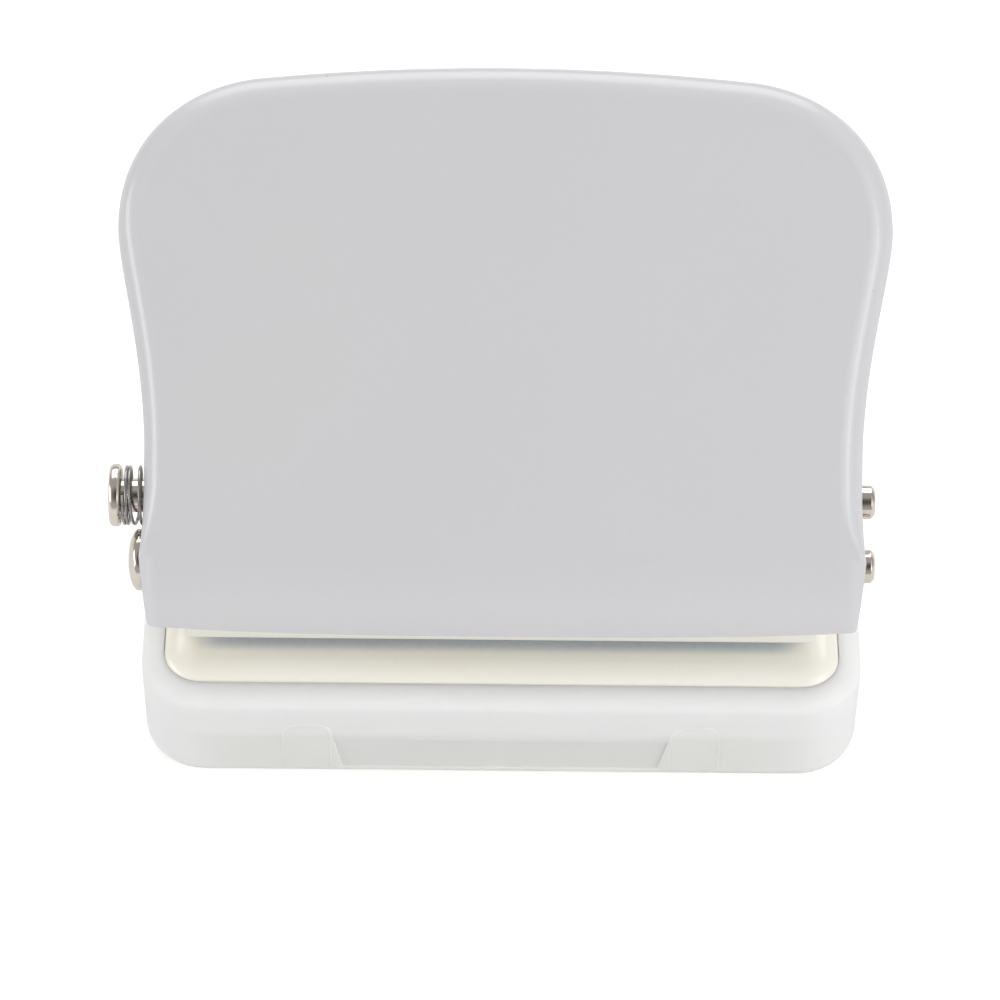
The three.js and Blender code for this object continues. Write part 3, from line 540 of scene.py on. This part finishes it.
def carve(piece, tools, operation="DIFFERENCE", place=Matrix.Identity(4)):
    """Cuts or joins plain tool shapes, which are then thrown away."""
    helpers = [object_from(tool, "tool", place) for tool in tools]
    for helper in helpers:
        cutter = piece.modifiers.new("cut", "BOOLEAN")
        cutter.operation = operation
        cutter.solver = "EXACT"
        cutter.object = helper
        settle(piece)
    for helper in helpers:
        old = helper.data
        bpy.data.objects.remove(helper)
        bpy.data.meshes.remove(old)


def clean(piece):
    """Merges the doubled corners that a cut leaves."""
    bm = bmesh.new()
    bm.from_mesh(piece.data)
    bmesh.ops.remove_doubles(bm, verts=bm.verts, dist=2e-6)
    bmesh.ops.dissolve_degenerate(bm, edges=bm.edges, dist=1e-6)
    bm.to_mesh(piece.data)
    bm.free()


def thicken(piece, sheet):
    """Gives an outer face its sheet's thickness, inwards."""
    wall = piece.modifiers.new("sheet", "SOLIDIFY")
    wall.thickness = sheet * MM
    wall.offset = -1
    wall.use_even_offset = True
    settle(piece)


def round_edges(piece, width, segments=2):
    made = piece.modifiers.new("round edges", "BEVEL")
    made.width = width * MM
    made.segments = segments
    made.limit_method = "ANGLE"
    made.angle_limit = math.radians(SHARP_EDGE)
    made.profile = 0.5


def done(piece, body, material, slot, *nodes, smooth=40, weighted=True):
    """Gives a piece its material and shading, and puts it in its node's place on its body."""
    piece.data.materials.clear()
    piece.data.materials.append(material)
    if piece.modifiers:
        settle(piece)
    piece.data.shade_smooth()
    piece.data.set_sharp_from_angle(angle=math.radians(smooth))
    if weighted:
        even = piece.modifiers.new("even shading", "WEIGHTED_NORMAL")
        even.keep_sharp = True
        settle(piece)
    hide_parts(*nodes)
    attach(piece, body)


# Lever
def lever_outline():
    """The right half of the outline from the crease to the free end, then the left half."""
    def curve(a, b, c, d, count):
        points = interpolate_bezier(*[Vector((*p, 0)) for p in (a, b, c, d)], count + 1)
        return [Vector((p.x, p.y)) for p in points[1:]]

    rise = WIDEST_AT - WAIST_AT
    top = CROWN_AT - WIDEST_AT
    lift = COVER_REACH - CROWN_AT
    corner = COVER_HALF - CROWN_HALF
    count = 16
    right = [Vector((EAR_OUTER, LIP_CREASE_AT + (WAIST_AT - LIP_CREASE_AT) * i / count))
             for i in range(count + 1)]
    right += curve((EAR_OUTER, WAIST_AT), (EAR_OUTER, WAIST_AT + 0.43 * rise),
                   (COVER_HALF, WIDEST_AT - 0.18 * rise), (COVER_HALF, WIDEST_AT), 24)
    right += curve((COVER_HALF, WIDEST_AT), (COVER_HALF, WIDEST_AT + 0.57 * top),
                   (CROWN_HALF + 0.57 * corner, CROWN_AT - 0.85 * lift),
                   (CROWN_HALF, CROWN_AT), 28)
    right += curve((CROWN_HALF, CROWN_AT), (0.66 * CROWN_HALF, CROWN_AT + 0.67 * lift),
                   (0.33 * CROWN_HALF, COVER_REACH), (0, COVER_REACH), 14)
    return right + [Vector((-p.x, p.y)) for p in reversed(right[:-1])]


def lever_wall_bottom(y):
    """Height of the sheet's lower edge under a place of the outline."""
    if y < 0:
        return -math.sqrt(max(EAR_FRONT ** 2 - y ** 2, 0))
    if y < EAR_BACK:
        return COVER_RISE - EAR_DEPTH
    share = min((y - EAR_BACK) / EAR_SLOPE, 1)
    return COVER_RISE - EAR_DEPTH + share * (EAR_DEPTH - FLANGE_DEPTH)


def lip_rows():
    """Rows down the lip as (half width, y, z); its two lower corners are round."""
    count, corner_rows = 24, 6
    lengths = [(LIP_LENGTH - LIP_CORNER) * (i + 1) / count for i in range(count)]
    lengths += [LIP_LENGTH - LIP_CORNER * (1 - math.sin((i + 1) / corner_rows * math.pi / 2))
                for i in range(corner_rows)]
    rows = []
    y, z, before = LIP_CREASE_AT, COVER_RISE, 0
    for length in lengths:
        slope = LIP_START + (LIP_END - LIP_START) * (before + length) / 2 / LIP_LENGTH
        y -= (length - before) * math.cos(slope)
        z -= (length - before) * math.sin(slope)
        half = EAR_OUTER + CREASE_FLARE - (CREASE_FLARE + LIP_INSET) * length / LIP_LENGTH
        into = max(length - LIP_LENGTH + LIP_CORNER, 0)
        half -= LIP_CORNER - math.sqrt(max(LIP_CORNER ** 2 - into ** 2, 0))
        rows.append((half, y, z))
        before = length
    return rows


def lever_sheet():
    """The pressed sheet's outer face: flat top, rolled edge, walls and lip.

    The roll tapers to nothing at the crease.
    """
    bm = bmesh.new()
    outline = lever_outline()
    outward = []
    for i in range(len(outline)):
        before = outline[max(i - 1, 0)]
        after = outline[min(i + 1, len(outline) - 1)]
        along = (after - before).normalized()
        outward.append(Vector((along.y, -along.x)))

    grown = [min(max((p.y - LIP_CREASE_AT) / ROLL_TAPER, 0), 1) for p in outline]
    rolls = [EDGE_ROLL * math.sin(share * math.pi / 2) ** 0.8 for share in grown]
    flares = [CREASE_FLARE * (1 - share) ** 2 for share in grown]

    def ring(angle):
        places = []
        for p, n, r, flare in zip(outline, outward, rolls, flares):
            q = p + n * (flare - r * (1 - math.sin(angle)))
            places.append((q.x, q.y, COVER_RISE - r * (1 - math.cos(angle))))
        return places

    start = [bm.verts.new(place) for place in ring(0)]
    bm.faces.new(start)
    bmesh.ops.connect_verts(bm, verts=[start[1], start[-2]])
    chain = start
    roll_steps = 12
    for k in range(1, roll_steps + 1):
        chain = grow(bm, chain, ring(k / roll_steps * math.pi / 2))
    grow(bm, chain, [(p.x, p.y, lever_wall_bottom(p.y)) for p in outline])
    lip = [start[-1], start[0]]
    sides = {-1: [lip[0]], 1: [lip[1]]}
    for half, y, z in lip_rows():
        lip = grow(bm, lip, [(-half, y, z), (half, y, z)])
        sides[-1].append(lip[0])
        sides[1].append(lip[1])
    for side, chain in sides.items():
        kept = [v for v in chain if v.co.y > -EAR_FRONT]
        grow(bm, kept, [(side * EAR_OUTER, v.co.y, lever_wall_bottom(v.co.y)) for v in kept])
    bmesh.ops.remove_doubles(bm, verts=bm.verts, dist=0.01)
    bmesh.ops.recalc_face_normals(bm, faces=bm.faces)
    bm.normal_update()
    for x in sorted({side * line for line in EDGE_LINES + BOW_LINES for side in (-1, 1)}):
        flat = [f for f in bm.faces if abs(f.normal.x) < 0.01 and abs(f.normal.z) > 0.5]
        edges = {e for f in flat for e in f.edges}
        verts = {v for f in flat for v in f.verts}
        bmesh.ops.bisect_plane(
            bm, geom=flat + list(edges) + list(verts), dist=1e-4,
            plane_co=(x, 0, 0), plane_no=(1, 0, 0),
        )
    bow_lip(bm)
    face_up(bm)
    return bm


def bow_lip(bm):
    """The lip's lower edge hangs in a shallow bow: its rows stretch down along its own slope."""
    rows = lip_rows()
    low = rows[-1][1]
    near = 0.02

    def apart(row, v):
        return abs(row[1] - v.co.y) + abs(row[2] - v.co.z)

    for v in bm.verts:
        row = min(rows, key=lambda each: apart(each, v))
        half, y, _ = row
        if apart(row, v) > near or abs(v.co.x) > half:
            continue
        share = (LIP_CREASE_AT - y) / (LIP_CREASE_AT - low)
        slope = LIP_START + (LIP_END - LIP_START) * share
        longer = LIP_BOW * share * share * (1 - (abs(v.co.x) / half) ** 3)
        v.co.y -= longer * math.cos(slope)
        v.co.z -= longer * math.sin(slope)


def make_lever():
    piece = object_from(lever_sheet(), "lever_sheet", LEVER_PLACE)
    thicken(piece, COVER_SHEET)
    reach = COVER_HALF + 5
    holes = [rod(HOLE_RADIUS, (-reach, y, 0), (reach, y, 0), 64) for y in (0, SHAFT_SPACING)]
    carve(piece, holes, place=LEVER_PLACE)
    clean(piece)
    round_edges(piece, 0.22, 3)
    done(piece, "lever", lever_paint, "grey_paint", "lever_cover")


make_lever()


# Shafts
def groove(start):
    """The part of a shaft's profile round its clip."""
    end = start + CLIP_THICKNESS + 2 * CLIP_GAP
    return [(SHAFT_RADIUS, start), (GROOVE_RADIUS, start),
            (GROOVE_RADIUS, end), (SHAFT_RADIUS, end)]


def shaft_end():
    """The chamfered right end of a shaft's profile."""
    return [(SHAFT_RADIUS, SHAFT_END - SHAFT_CHAMFER), (SHAFT_RADIUS - SHAFT_CHAMFER, SHAFT_END),
            (0, SHAFT_END)]


def make_pivot_shaft():
    seat = -EAR_OUTER - RUNNING_GAP
    rise = DOME_HEIGHT - DOME_RIM
    steps = 12
    crown = []
    for i in range(steps):
        angle = i / steps * math.pi / 2
        crown.append((DOME_RADIUS * math.sin(angle), seat - DOME_RIM - rise * math.cos(angle)))
    profile = crown + [(DOME_RADIUS, seat - DOME_RIM), (DOME_RADIUS, seat), (SHAFT_RADIUS, seat)]
    profile += groove(PIVOT_GROOVE_AT) + shaft_end()
    piece = object_from(turned(profile, soft=0.09, sharper=25), "pivot_shaft_turned", LEVER_PLACE)
    done(piece, "lever", plating, "nickel", "pivot_shaft")


def make_lock_shaft():
    inner = -EAR_OUTER - KNOB_STANDOUT
    outer = inner - KNOB_THICKNESS
    face, bevel, steps = KNOB_RADIUS - KNOB_ROUND, 0.3, 5
    profile = [(0, outer), (face, outer)]
    for i in range(1, steps + 1):
        angle = i / steps * math.pi / 2
        profile.append((face + KNOB_ROUND * math.sin(angle),
                        outer + KNOB_ROUND * (1 - math.cos(angle))))
    profile += [(KNOB_RADIUS, inner - bevel), (KNOB_RADIUS - bevel, inner), (SHAFT_RADIUS, inner)]
    profile += groove(LOCK_GROOVE_AT)
    neck_from, neck_to = -FRAME_OUTER - RUNNING_GAP, -FRAME_INNER + RUNNING_GAP
    profile += [(SHAFT_RADIUS, neck_from), (NECK_RADIUS, neck_from),
                (NECK_RADIUS, neck_to), (SHAFT_RADIUS, neck_to)]
    profile += shaft_end()
    piece = object_from(turned(profile, soft=0.09, sharper=25), "lock_shaft_turned", LOCK_PLACE)
    done(piece, "lock", plating, "nickel", "lock_shaft")


make_pivot_shaft()
make_lock_shaft()


def c_clip(name, body, node, place, axis):
    """A flat open clip: a small section swept round most of a turn."""
    bm = bmesh.new()
    inner = (GROOVE_RADIUS if axis == "X" else PIN_GROOVE) + CLIP_GAP
    outer = CLIP_OUTER if axis == "X" else PIN_CLIP_OUTER
    opening = math.radians(80)
    corners = [(inner, 0), (outer, 0), (outer, CLIP_THICKNESS), (inner, CLIP_THICKNESS)]
    face = bm.faces.new([bm.verts.new((r, 0, a)) for r, a in corners])
    first = Matrix.Rotation(opening / 2, 3, "Z")
    bmesh.ops.rotate(bm, verts=bm.verts, cent=(0, 0, 0), matrix=first)
    bmesh.ops.spin(
        bm, geom=[face] + face.edges[:] + face.verts[:], cent=(0, 0, 0), axis=(0, 0, 1),
        angle=2 * math.pi - opening, steps=40,
    )
    bmesh.ops.recalc_face_normals(bm, faces=bm.faces)
    ease(bm, 0.08, 2, 40)
    if axis == "X":
        bm.transform(Matrix.Rotation(math.pi / 2, 4, "Y"))
    piece = object_from(bm, name, place)
    done(piece, body, clip_steel, "spring_steel", node)


pivot_seat = LEVER_PLACE @ Matrix.Translation((PIVOT_GROOVE_AT + CLIP_GAP, 0, 0))
lock_seat = LOCK_PLACE @ Matrix.Translation((LOCK_GROOVE_AT + CLIP_GAP, 0, 0))
c_clip("pivot_clip_ring", "lever", "pivot_clip", pivot_seat, "X")
c_clip("lock_clip_ring", "lock", "lock_clip", lock_seat, "X")


def sweep_wire(path, radius, sides=10):
    """A round wire along a path, grown ring by ring, with closed ends."""
    bm = bmesh.new()
    made = bmesh.ops.create_circle(bm, cap_ends=True, segments=sides, radius=radius)["verts"]
    flat = [v.co.copy() for v in made]
    into = (path[1] - path[0]).normalized()
    frame_turn = Vector((0, 0, 1)).rotation_difference(into)
    for v, spot in zip(made, flat):
        v.co = path[0] + frame_turn @ spot
    chain = made
    for i in range(1, len(path)):
        after = path[min(i + 1, len(path) - 1)]
        onward = (after - path[i - 1]).normalized()
        frame_turn = into.rotation_difference(onward) @ frame_turn
        into = onward
        chain = grow(bm, chain, [path[i] + frame_turn @ spot for spot in flat], closed=True)
    bm.faces.new(chain)
    bmesh.ops.recalc_face_normals(bm, faces=bm.faces)
    return bm


def coil_path(radius, stations, start=0.0):
    """Points of a coil about +Z; each station is (turns so far, height)."""
    per_turn = 32

    def point(turns, height):
        angle = turns * 2 * math.pi + start
        return Vector((radius * math.cos(angle), radius * math.sin(angle), height))

    path = []
    for (t0, z0), (t1, z1) in zip(stations, stations[1:]):
        count = max(round((t1 - t0) * per_turn), 1)
        for i in range(count):
            share = i / count
            path.append(point(t0 + (t1 - t0) * share, z0 + (z1 - z0) * share))
    return path + [point(*stations[-1])]


def make_lock_spring():
    """Two turns lie close at the knob, and the rest runs over to the ear."""
    stations = [(0, 0.0), (1, 0.45), (2, 0.9), (2.5, 1.95), (3, 2.25), (3.3, 2.46)]
    bm = sweep_wire(coil_path(LOCK_COIL, stations, start=math.pi), LOCK_WIRE)
    bm.transform(Matrix.Rotation(math.pi / 2, 4, "Y"))
    along = -EAR_OUTER - KNOB_STANDOUT + SPRING_SEAT_GAP + LOCK_WIRE
    piece = object_from(bm, "lock_spring_wire", LOCK_PLACE @ Matrix.Translation((along, 0, 0)))
    done(piece, "lever", wire_steel, "spring_steel", "lock_spring", smooth=60, weighted=False)
    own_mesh(piece)


make_lock_spring()


def make_bush(side, x0, x1):
    """A short tube; its profile comes back to its first corner."""
    profile = [(HOLE_RADIUS, x0), (CLIP_OUTER, x0), (CLIP_OUTER, x1), (HOLE_RADIUS, x1),
               (HOLE_RADIUS, x0)]
    piece = object_from(turned(profile), f"pivot_spacer_{side}", PIVOT_PLACE)
    done(piece, "chassis", plating, "nickel", f"pivot_bush_{side}")


make_bush("left", -EAR_INNER + RUNNING_GAP, -FRAME_OUTER - RUNNING_GAP)
make_bush("right", FRAME_OUTER + RUNNING_GAP, BUSH_END)


# Copies of the sheet metal solids, with their bends and edges rounded
def refined(name, node, picks):
    """A merged copy of a CAD node with chosen bends rounded."""
    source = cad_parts[node]
    bm = bmesh.new()
    bm.from_mesh(source.data)
    bmesh.ops.remove_doubles(bm, verts=bm.verts, dist=2e-6)
    bmesh.ops.dissolve_limit(bm, angle_limit=math.radians(1), verts=bm.verts, edges=bm.edges)
    for size, chosen in picks:
        ease(bm, size * MM, 5, SHARP_EDGE, chosen)
    return linked(bm, name)


def near_bend(y, z):
    """Picks the long bend that runs along X at one place of the section."""
    spot = ROW_PLACE @ Vector((0, y, z))
    near = 2e-5

    def chosen(edge):
        ends = [v.co for v in edge.verts]
        return all(abs(p.y - spot.y) < near and abs(p.z - spot.z) < near for p in ends)
    return chosen


def make_bridge():
    bend = 1.1
    places = ((-FRAME_FRONT, SLOT_TOP), (-FRAME_FRONT, CHANNEL_TOP), (PAPER_STOP, CHANNEL_TOP))
    picks = [(bend, near_bend(y, z)) for y, z in places]
    piece = refined("bridge_sheet", "bridge_frame", picks)
    round_edges(piece, 0.18)
    done(piece, "chassis", frame_paint, "cream_paint", "bridge_frame")


def make_die():
    piece = refined("die_block", "die_plate", [])
    round_edges(piece, 0.2)
    done(piece, "chassis", pin_steel, "tool_steel", "die_plate")


make_bridge()
make_die()


def middle_y(low, high):
    """The middle of a node's box along Y, in the punch's own frame."""
    return (low.y + high.y) / 2 / MM - SHIFT.y


def make_rivet(number, x):
    low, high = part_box(f"frame_rivet_{number}")
    bottom, peak = low.z / MM, high.z / MM
    flat, dome = bottom + RIVET_FLAT, peak - RIVET_DOME
    profile = [(0, bottom), (RIVET_HEAD, bottom), (RIVET_HEAD, flat), (RIVET_SHANK, flat),
               (RIVET_SHANK, dome), (RIVET_HEAD, dome)]
    steps = 8
    for i in range(1, steps):
        angle = i / steps * math.pi / 2
        profile.append((RIVET_HEAD * math.cos(angle), dome + RIVET_DOME * math.sin(angle)))
    profile.append((0, peak))
    place = Matrix.Translation((x, middle_y(low, high), 0))
    piece = object_from(turned(profile, "Z", 48, 0.06, 50), f"rivet_{number}", place)
    done(piece, "chassis", pin_steel, "tool_steel", f"frame_rivet_{number}")


for number, x in enumerate(RIVET_PLACES, 1):
    make_rivet(number, x)


# Punch pins, their clips and springs
def make_pin(number, x):
    low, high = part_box(f"punch_pin_{number}")
    tip, top = low.z / MM, high.z / MM
    clip_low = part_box(f"punch_clip_{number}")[0].z / MM
    groove_low, groove_high = clip_low - CLIP_GAP, clip_low + CLIP_THICKNESS + CLIP_GAP
    profile = [(0, tip), (PIN_RADIUS, tip), (PIN_RADIUS, groove_low), (PIN_GROOVE, groove_low),
               (PIN_GROOVE, groove_high), (PIN_RADIUS, groove_high),
               (PIN_RADIUS, top - PIN_CHAMFER), (PIN_RADIUS - PIN_CHAMFER, top), (0, top)]
    place = Matrix.Translation((x, PINS_Y, 0))
    piece = object_from(turned(profile, "Z", 56, 0.05, 30), f"punch_pin_ground_{number}", place)
    edge = tip - 0.03
    notch = prism([(-PIN_RADIUS - 0.1, edge), (0, tip + PIN_NOTCH), (PIN_RADIUS + 0.1, edge),
                   (0, tip - 3)], -4, 4)
    carve(piece, [notch], place=place)
    done(piece, f"punch_{number}", pin_steel, "tool_steel", f"punch_pin_{number}")
    around = Matrix.Translation((x, PINS_Y, clip_low)) @ Matrix.Rotation(math.pi / 2, 4, "Z")
    c_clip(f"punch_clip_ring_{number}", f"punch_{number}", f"punch_clip_{number}", around, "Z")


def make_pin_spring(number, x):
    """Five turns, of which the first and the last lie nearly flat."""
    low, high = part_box(f"punch_spring_{number}")
    tall = (high.z - low.z) / MM - 2 * PIN_WIRE
    stations = [(0, 0), (0.9, 0.5), (4.1, tall - 0.5), (5, tall)]
    bm = sweep_wire(coil_path(PIN_COIL, stations), PIN_WIRE)
    place = Matrix.Translation((x, PINS_Y, low.z / MM + PIN_WIRE))
    piece = object_from(bm, f"punch_spring_wire_{number}", place)
    done(piece, "chassis", wire_steel, "spring_steel", f"punch_spring_{number}",
         smooth=60, weighted=False)
    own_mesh(piece)


for number, x in enumerate(PIN_PLACES, 1):
    make_pin(number, x)
    make_pin_spring(number, x)


# Base plate and chip tray: rounded rectangles in rings of (inset, height)
def rounded_rectangle(size, corner, inset=0.0, arc=10):
    half = Vector(size) / 2
    radius = max(corner - inset, 0.05)
    points = []
    for quarter, (sx, sy) in enumerate(((1, 1), (-1, 1), (-1, -1), (1, -1))):
        centre = Vector((sx * (half.x - corner), sy * (half.y - corner)))
        for i in range(arc + 1):
            angle = (quarter + i / arc) * math.pi / 2
            points.append(centre + radius * Vector((math.cos(angle), math.sin(angle))))
    return points


def pressed_pan(size, corner, rings, close_end):
    """A rounded rectangle grown ring by ring from its first face."""
    bm = bmesh.new()

    def places(inset, height):
        return [(p.x, p.y, height) for p in rounded_rectangle(size, corner, inset)]

    chain = [bm.verts.new(place) for place in places(*rings[0])]
    bm.faces.new(chain)
    for ring in rings[1:]:
        chain = grow(bm, chain, places(*ring), closed=True)
    if close_end:
        bm.faces.new(chain)
    bmesh.ops.recalc_face_normals(bm, faces=bm.faces)
    return bm


def make_base_plate():
    """Its top edge is a quarter ellipse, so wide and so tall."""
    wide, tall, steps = 3.1, 1.9, 9
    rings = [(wide + 1.5, PLATE_TOP)]
    for k in range(steps + 1):
        angle = k / steps * math.pi / 2
        rings.append((wide * (1 - math.sin(angle)), PLATE_TOP - tall * (1 - math.cos(angle))))
    rings += [(0, PLATE_TOP - 4.5), (0, PLATE_TOP - PLATE_SKIRT)]
    bm = pressed_pan(PLATE_SIZE, PLATE_CORNER + 0.4, rings, False)
    bm.normal_update()
    face_up(bm)
    place = Matrix.Translation((0, TRAY_MIDDLE, 0))
    piece = object_from(bm, "base_plate_pressed", place)
    thicken(piece, PLATE_SHEET)
    rivets_y = middle_y(*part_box("frame_rivet_1"))
    below, above = 10, 30
    tools = [rod(PIN_HOLE, (x, PINS_Y, below), (x, PINS_Y, above), 48) for x in PIN_PLACES]
    tools += [rod(RIVET_HOLE, (x, rivets_y, below), (x, rivets_y, above), 32)
              for x in RIVET_PLACES]
    carve(piece, tools)
    round_edges(piece, 0.15)
    done(piece, "chassis", plate_paint, "cream_paint", "base_plate")


def tongue_ridge(x, half_depth):
    """The fine ridge round a clip tongue: two sides and a rounded top."""
    outer, inner, corner, low, high, steps = 3.4, 3.12, 2.0, 2.2, 11.6, 8

    def side(half, top):
        """Up the left side, over two round corners and down the right side."""
        points = [(x - half, low)]
        for turn, centre in ((math.pi, x - half + corner), (math.pi / 2, x + half - corner)):
            for i in range(steps + 1):
                angle = turn - i / steps * math.pi / 2
                points.append((centre + corner * math.cos(angle),
                               top - corner * (1 - math.sin(angle))))
        return points + [(x + half, low)]

    outline = side(outer, high) + list(reversed(side(inner, high - 0.32)))
    return prism(outline, -half_depth, -half_depth + 0.5, "Y")


def make_tray():
    """From the middle of its underside, up over the domed rim and down its inner wall.

    The outer face lies slightly inside the solid's, so that the ridges on it stay in the box.
    """
    proud, mouth, crown = 0.1, 3.18, TRAY_HEIGHT + 0.5
    dome_wide, dome_tall, inner_round = 3.02, 2.2, 2

    def quarter(steps, first=0):
        """Angles of a quarter turn."""
        return [k / steps * math.pi / 2 for k in range(first, steps + 1)]

    rings = [(TRAY_FOOT + 3, 0.0)]
    rings += [(proud + TRAY_FOOT * (1 - math.sin(angle)), TRAY_FOOT * (1 - math.cos(angle)))
              for angle in quarter(8)]
    rings.append((proud, 8.0))
    rings += [(proud + dome_wide * (1 - math.cos(angle)), crown - dome_tall * (1 - math.sin(angle)))
              for angle in quarter(9)]
    corner_at = TRAY_FLOOR + inner_round
    rings += [(mouth, crown - 0.05), (mouth, TRAY_HEIGHT - TRAY_RIM),
              (TRAY_WALL, TRAY_HEIGHT - TRAY_RIM), (TRAY_WALL, corner_at)]
    rings += [(TRAY_WALL + inner_round * (1 - math.cos(angle)),
               corner_at - inner_round * math.sin(angle)) for angle in quarter(5, 1)]
    rings.append((6.5, TRAY_FLOOR))
    place = Matrix.Translation((0, TRAY_MIDDLE, 0))
    bm = pressed_pan(TRAY_SIZE, TRAY_CORNER, rings, True)
    piece = object_from(bm, "chip_tray_moulded", place)
    half_depth = TRAY_SIZE[1] / 2
    half_rib, rib_low, rib_high = 0.6, 0.7, 9.7
    added = []
    for x in RIB_PLACES:
        for end in (-1, 1):
            y0, y1 = sorted((end * (half_depth - 1.0), end * (half_depth - 5.8)))
            added.append(block(x - half_rib, x + half_rib, y0, y1, rib_low, rib_high))
    added += [tongue_ridge(x, half_depth) for x in TONGUE_PLACES]
    carve(piece, added, "UNION", place)
    low_half = RECESS_HALF - RECESS_SLANT
    recess = prism([(-low_half, RECESS_LOW), (low_half, RECESS_LOW),
                    (RECESS_HALF, RECESS_HIGH), (-RECESS_HALF, RECESS_HIGH)],
                   -half_depth - 1, -half_depth + 0.5, "Y")
    carve(piece, [recess], place=place)
    round_edges(piece, 0.08)
    done(piece, "tray", tray_plastic, "frosted_plastic", "chip_tray")


make_base_plate()
make_tray()


# Floor, lamps and surroundings
def make_floor():
    """Pale, and white to the camera; its far part, past the lamps' light, is made up to white."""
    bm = bmesh.new()
    bmesh.ops.create_grid(bm, x_segments=1, y_segments=1, size=4)
    floor = linked(bm, "floor")
    floor.location.z = -0.0001
    material, tree, bsdf = shader("pale_floor")
    bsdf.inputs["Base Color"].default_value = (0.78, 0.78, 0.78, 1)
    bsdf.inputs["Roughness"].default_value = 0.9
    bsdf.inputs["Specular IOR Level"].default_value = 0.1
    bsdf.inputs["Emission Color"].default_value = (1, 1, 1, 1)
    white = spread(tree, from_centre(tree), 0.5, 1.5, 0.38, 1.0)
    tree.links.new(times(tree, seen_by_camera(tree), white), bsdf.inputs["Emission Strength"])
    floor.data.materials.append(material)


def make_dark_card():
    """A dark card round the lens, for reflections alone: bright metal shows it as its dark band."""
    bm = bmesh.new()
    bmesh.ops.create_grid(bm, x_segments=1, y_segments=1, size=0.5)
    bmesh.ops.scale(bm, vec=(1.1, 0.72, 1), verts=bm.verts)
    card = linked(bm, "dark_card")
    camera = bpy.context.scene.camera.matrix_world
    card.matrix_world = camera @ Matrix.Translation((0, 0, -0.05))
    card.visible_camera = card.visible_diffuse = card.visible_shadow = False
    card.visible_transmission = False
    material, tree, bsdf = shader("dark_card")
    bsdf.inputs["Base Color"].default_value = (0.02, 0.02, 0.022, 1)
    bsdf.inputs["Roughness"].default_value = 0.9
    bsdf.inputs["Emission Color"].default_value = (1.0, 0.97, 0.93, 1)
    glow = spread(tree, from_centre(tree), 0.1, 0.46, 0.0, 0.5)
    tree.links.new(glow, bsdf.inputs["Emission Strength"])
    card.data.materials.append(material)


def make_lamp(name, place, size, power):
    """A soft box aimed at the middle of the punch."""
    target = Vector((0, 0, 0.03))
    data = bpy.data.lights.new(name, "AREA")
    data.shape = "RECTANGLE"
    data.size, data.size_y = size
    data.energy = power
    lamp = bpy.data.objects.new(name, data)
    lamp.location = place
    lamp.rotation_euler = (target - Vector(place)).to_track_quat("-Z", "Y").to_euler()
    lamp.visible_camera = False
    bpy.context.scene.collection.objects.link(lamp)


def make_world():
    """An even white room: white behind the punch, dimmer as light on it."""
    world = bpy.data.worlds.new("surroundings")
    bpy.context.scene.world = world
    world.use_nodes = True
    tree = world.node_tree
    ground = tree.nodes["Background"]
    ground.inputs["Color"].default_value = (1, 1, 1, 1)
    strength = spread(tree, seen_by_camera(tree), 0, 1, 0.42, 1.0)
    tree.links.new(strength, ground.inputs["Strength"])


make_floor()
make_world()
make_dark_card()
make_lamp("softbox_right", (0.74, -0.2, 0.65), (0.5, 0.9), 0.8)
make_lamp("softbox_right_front", (0.7, -0.55, 0.55), (0.5, 0.7), 3.9)
make_lamp("softbox_left", (-0.95, -0.2, 0.28), (0.8, 0.25), 3.2)
make_lamp("softbox_front", (0.0, -0.8, 0.7), (1.3, 0.7), 2.7)
make_lamp("softbox_back", (0.0, 0.8, 0.7), (1.2, 0.8), 7.4)
bpy.context.scene.view_settings.view_transform = "Standard"
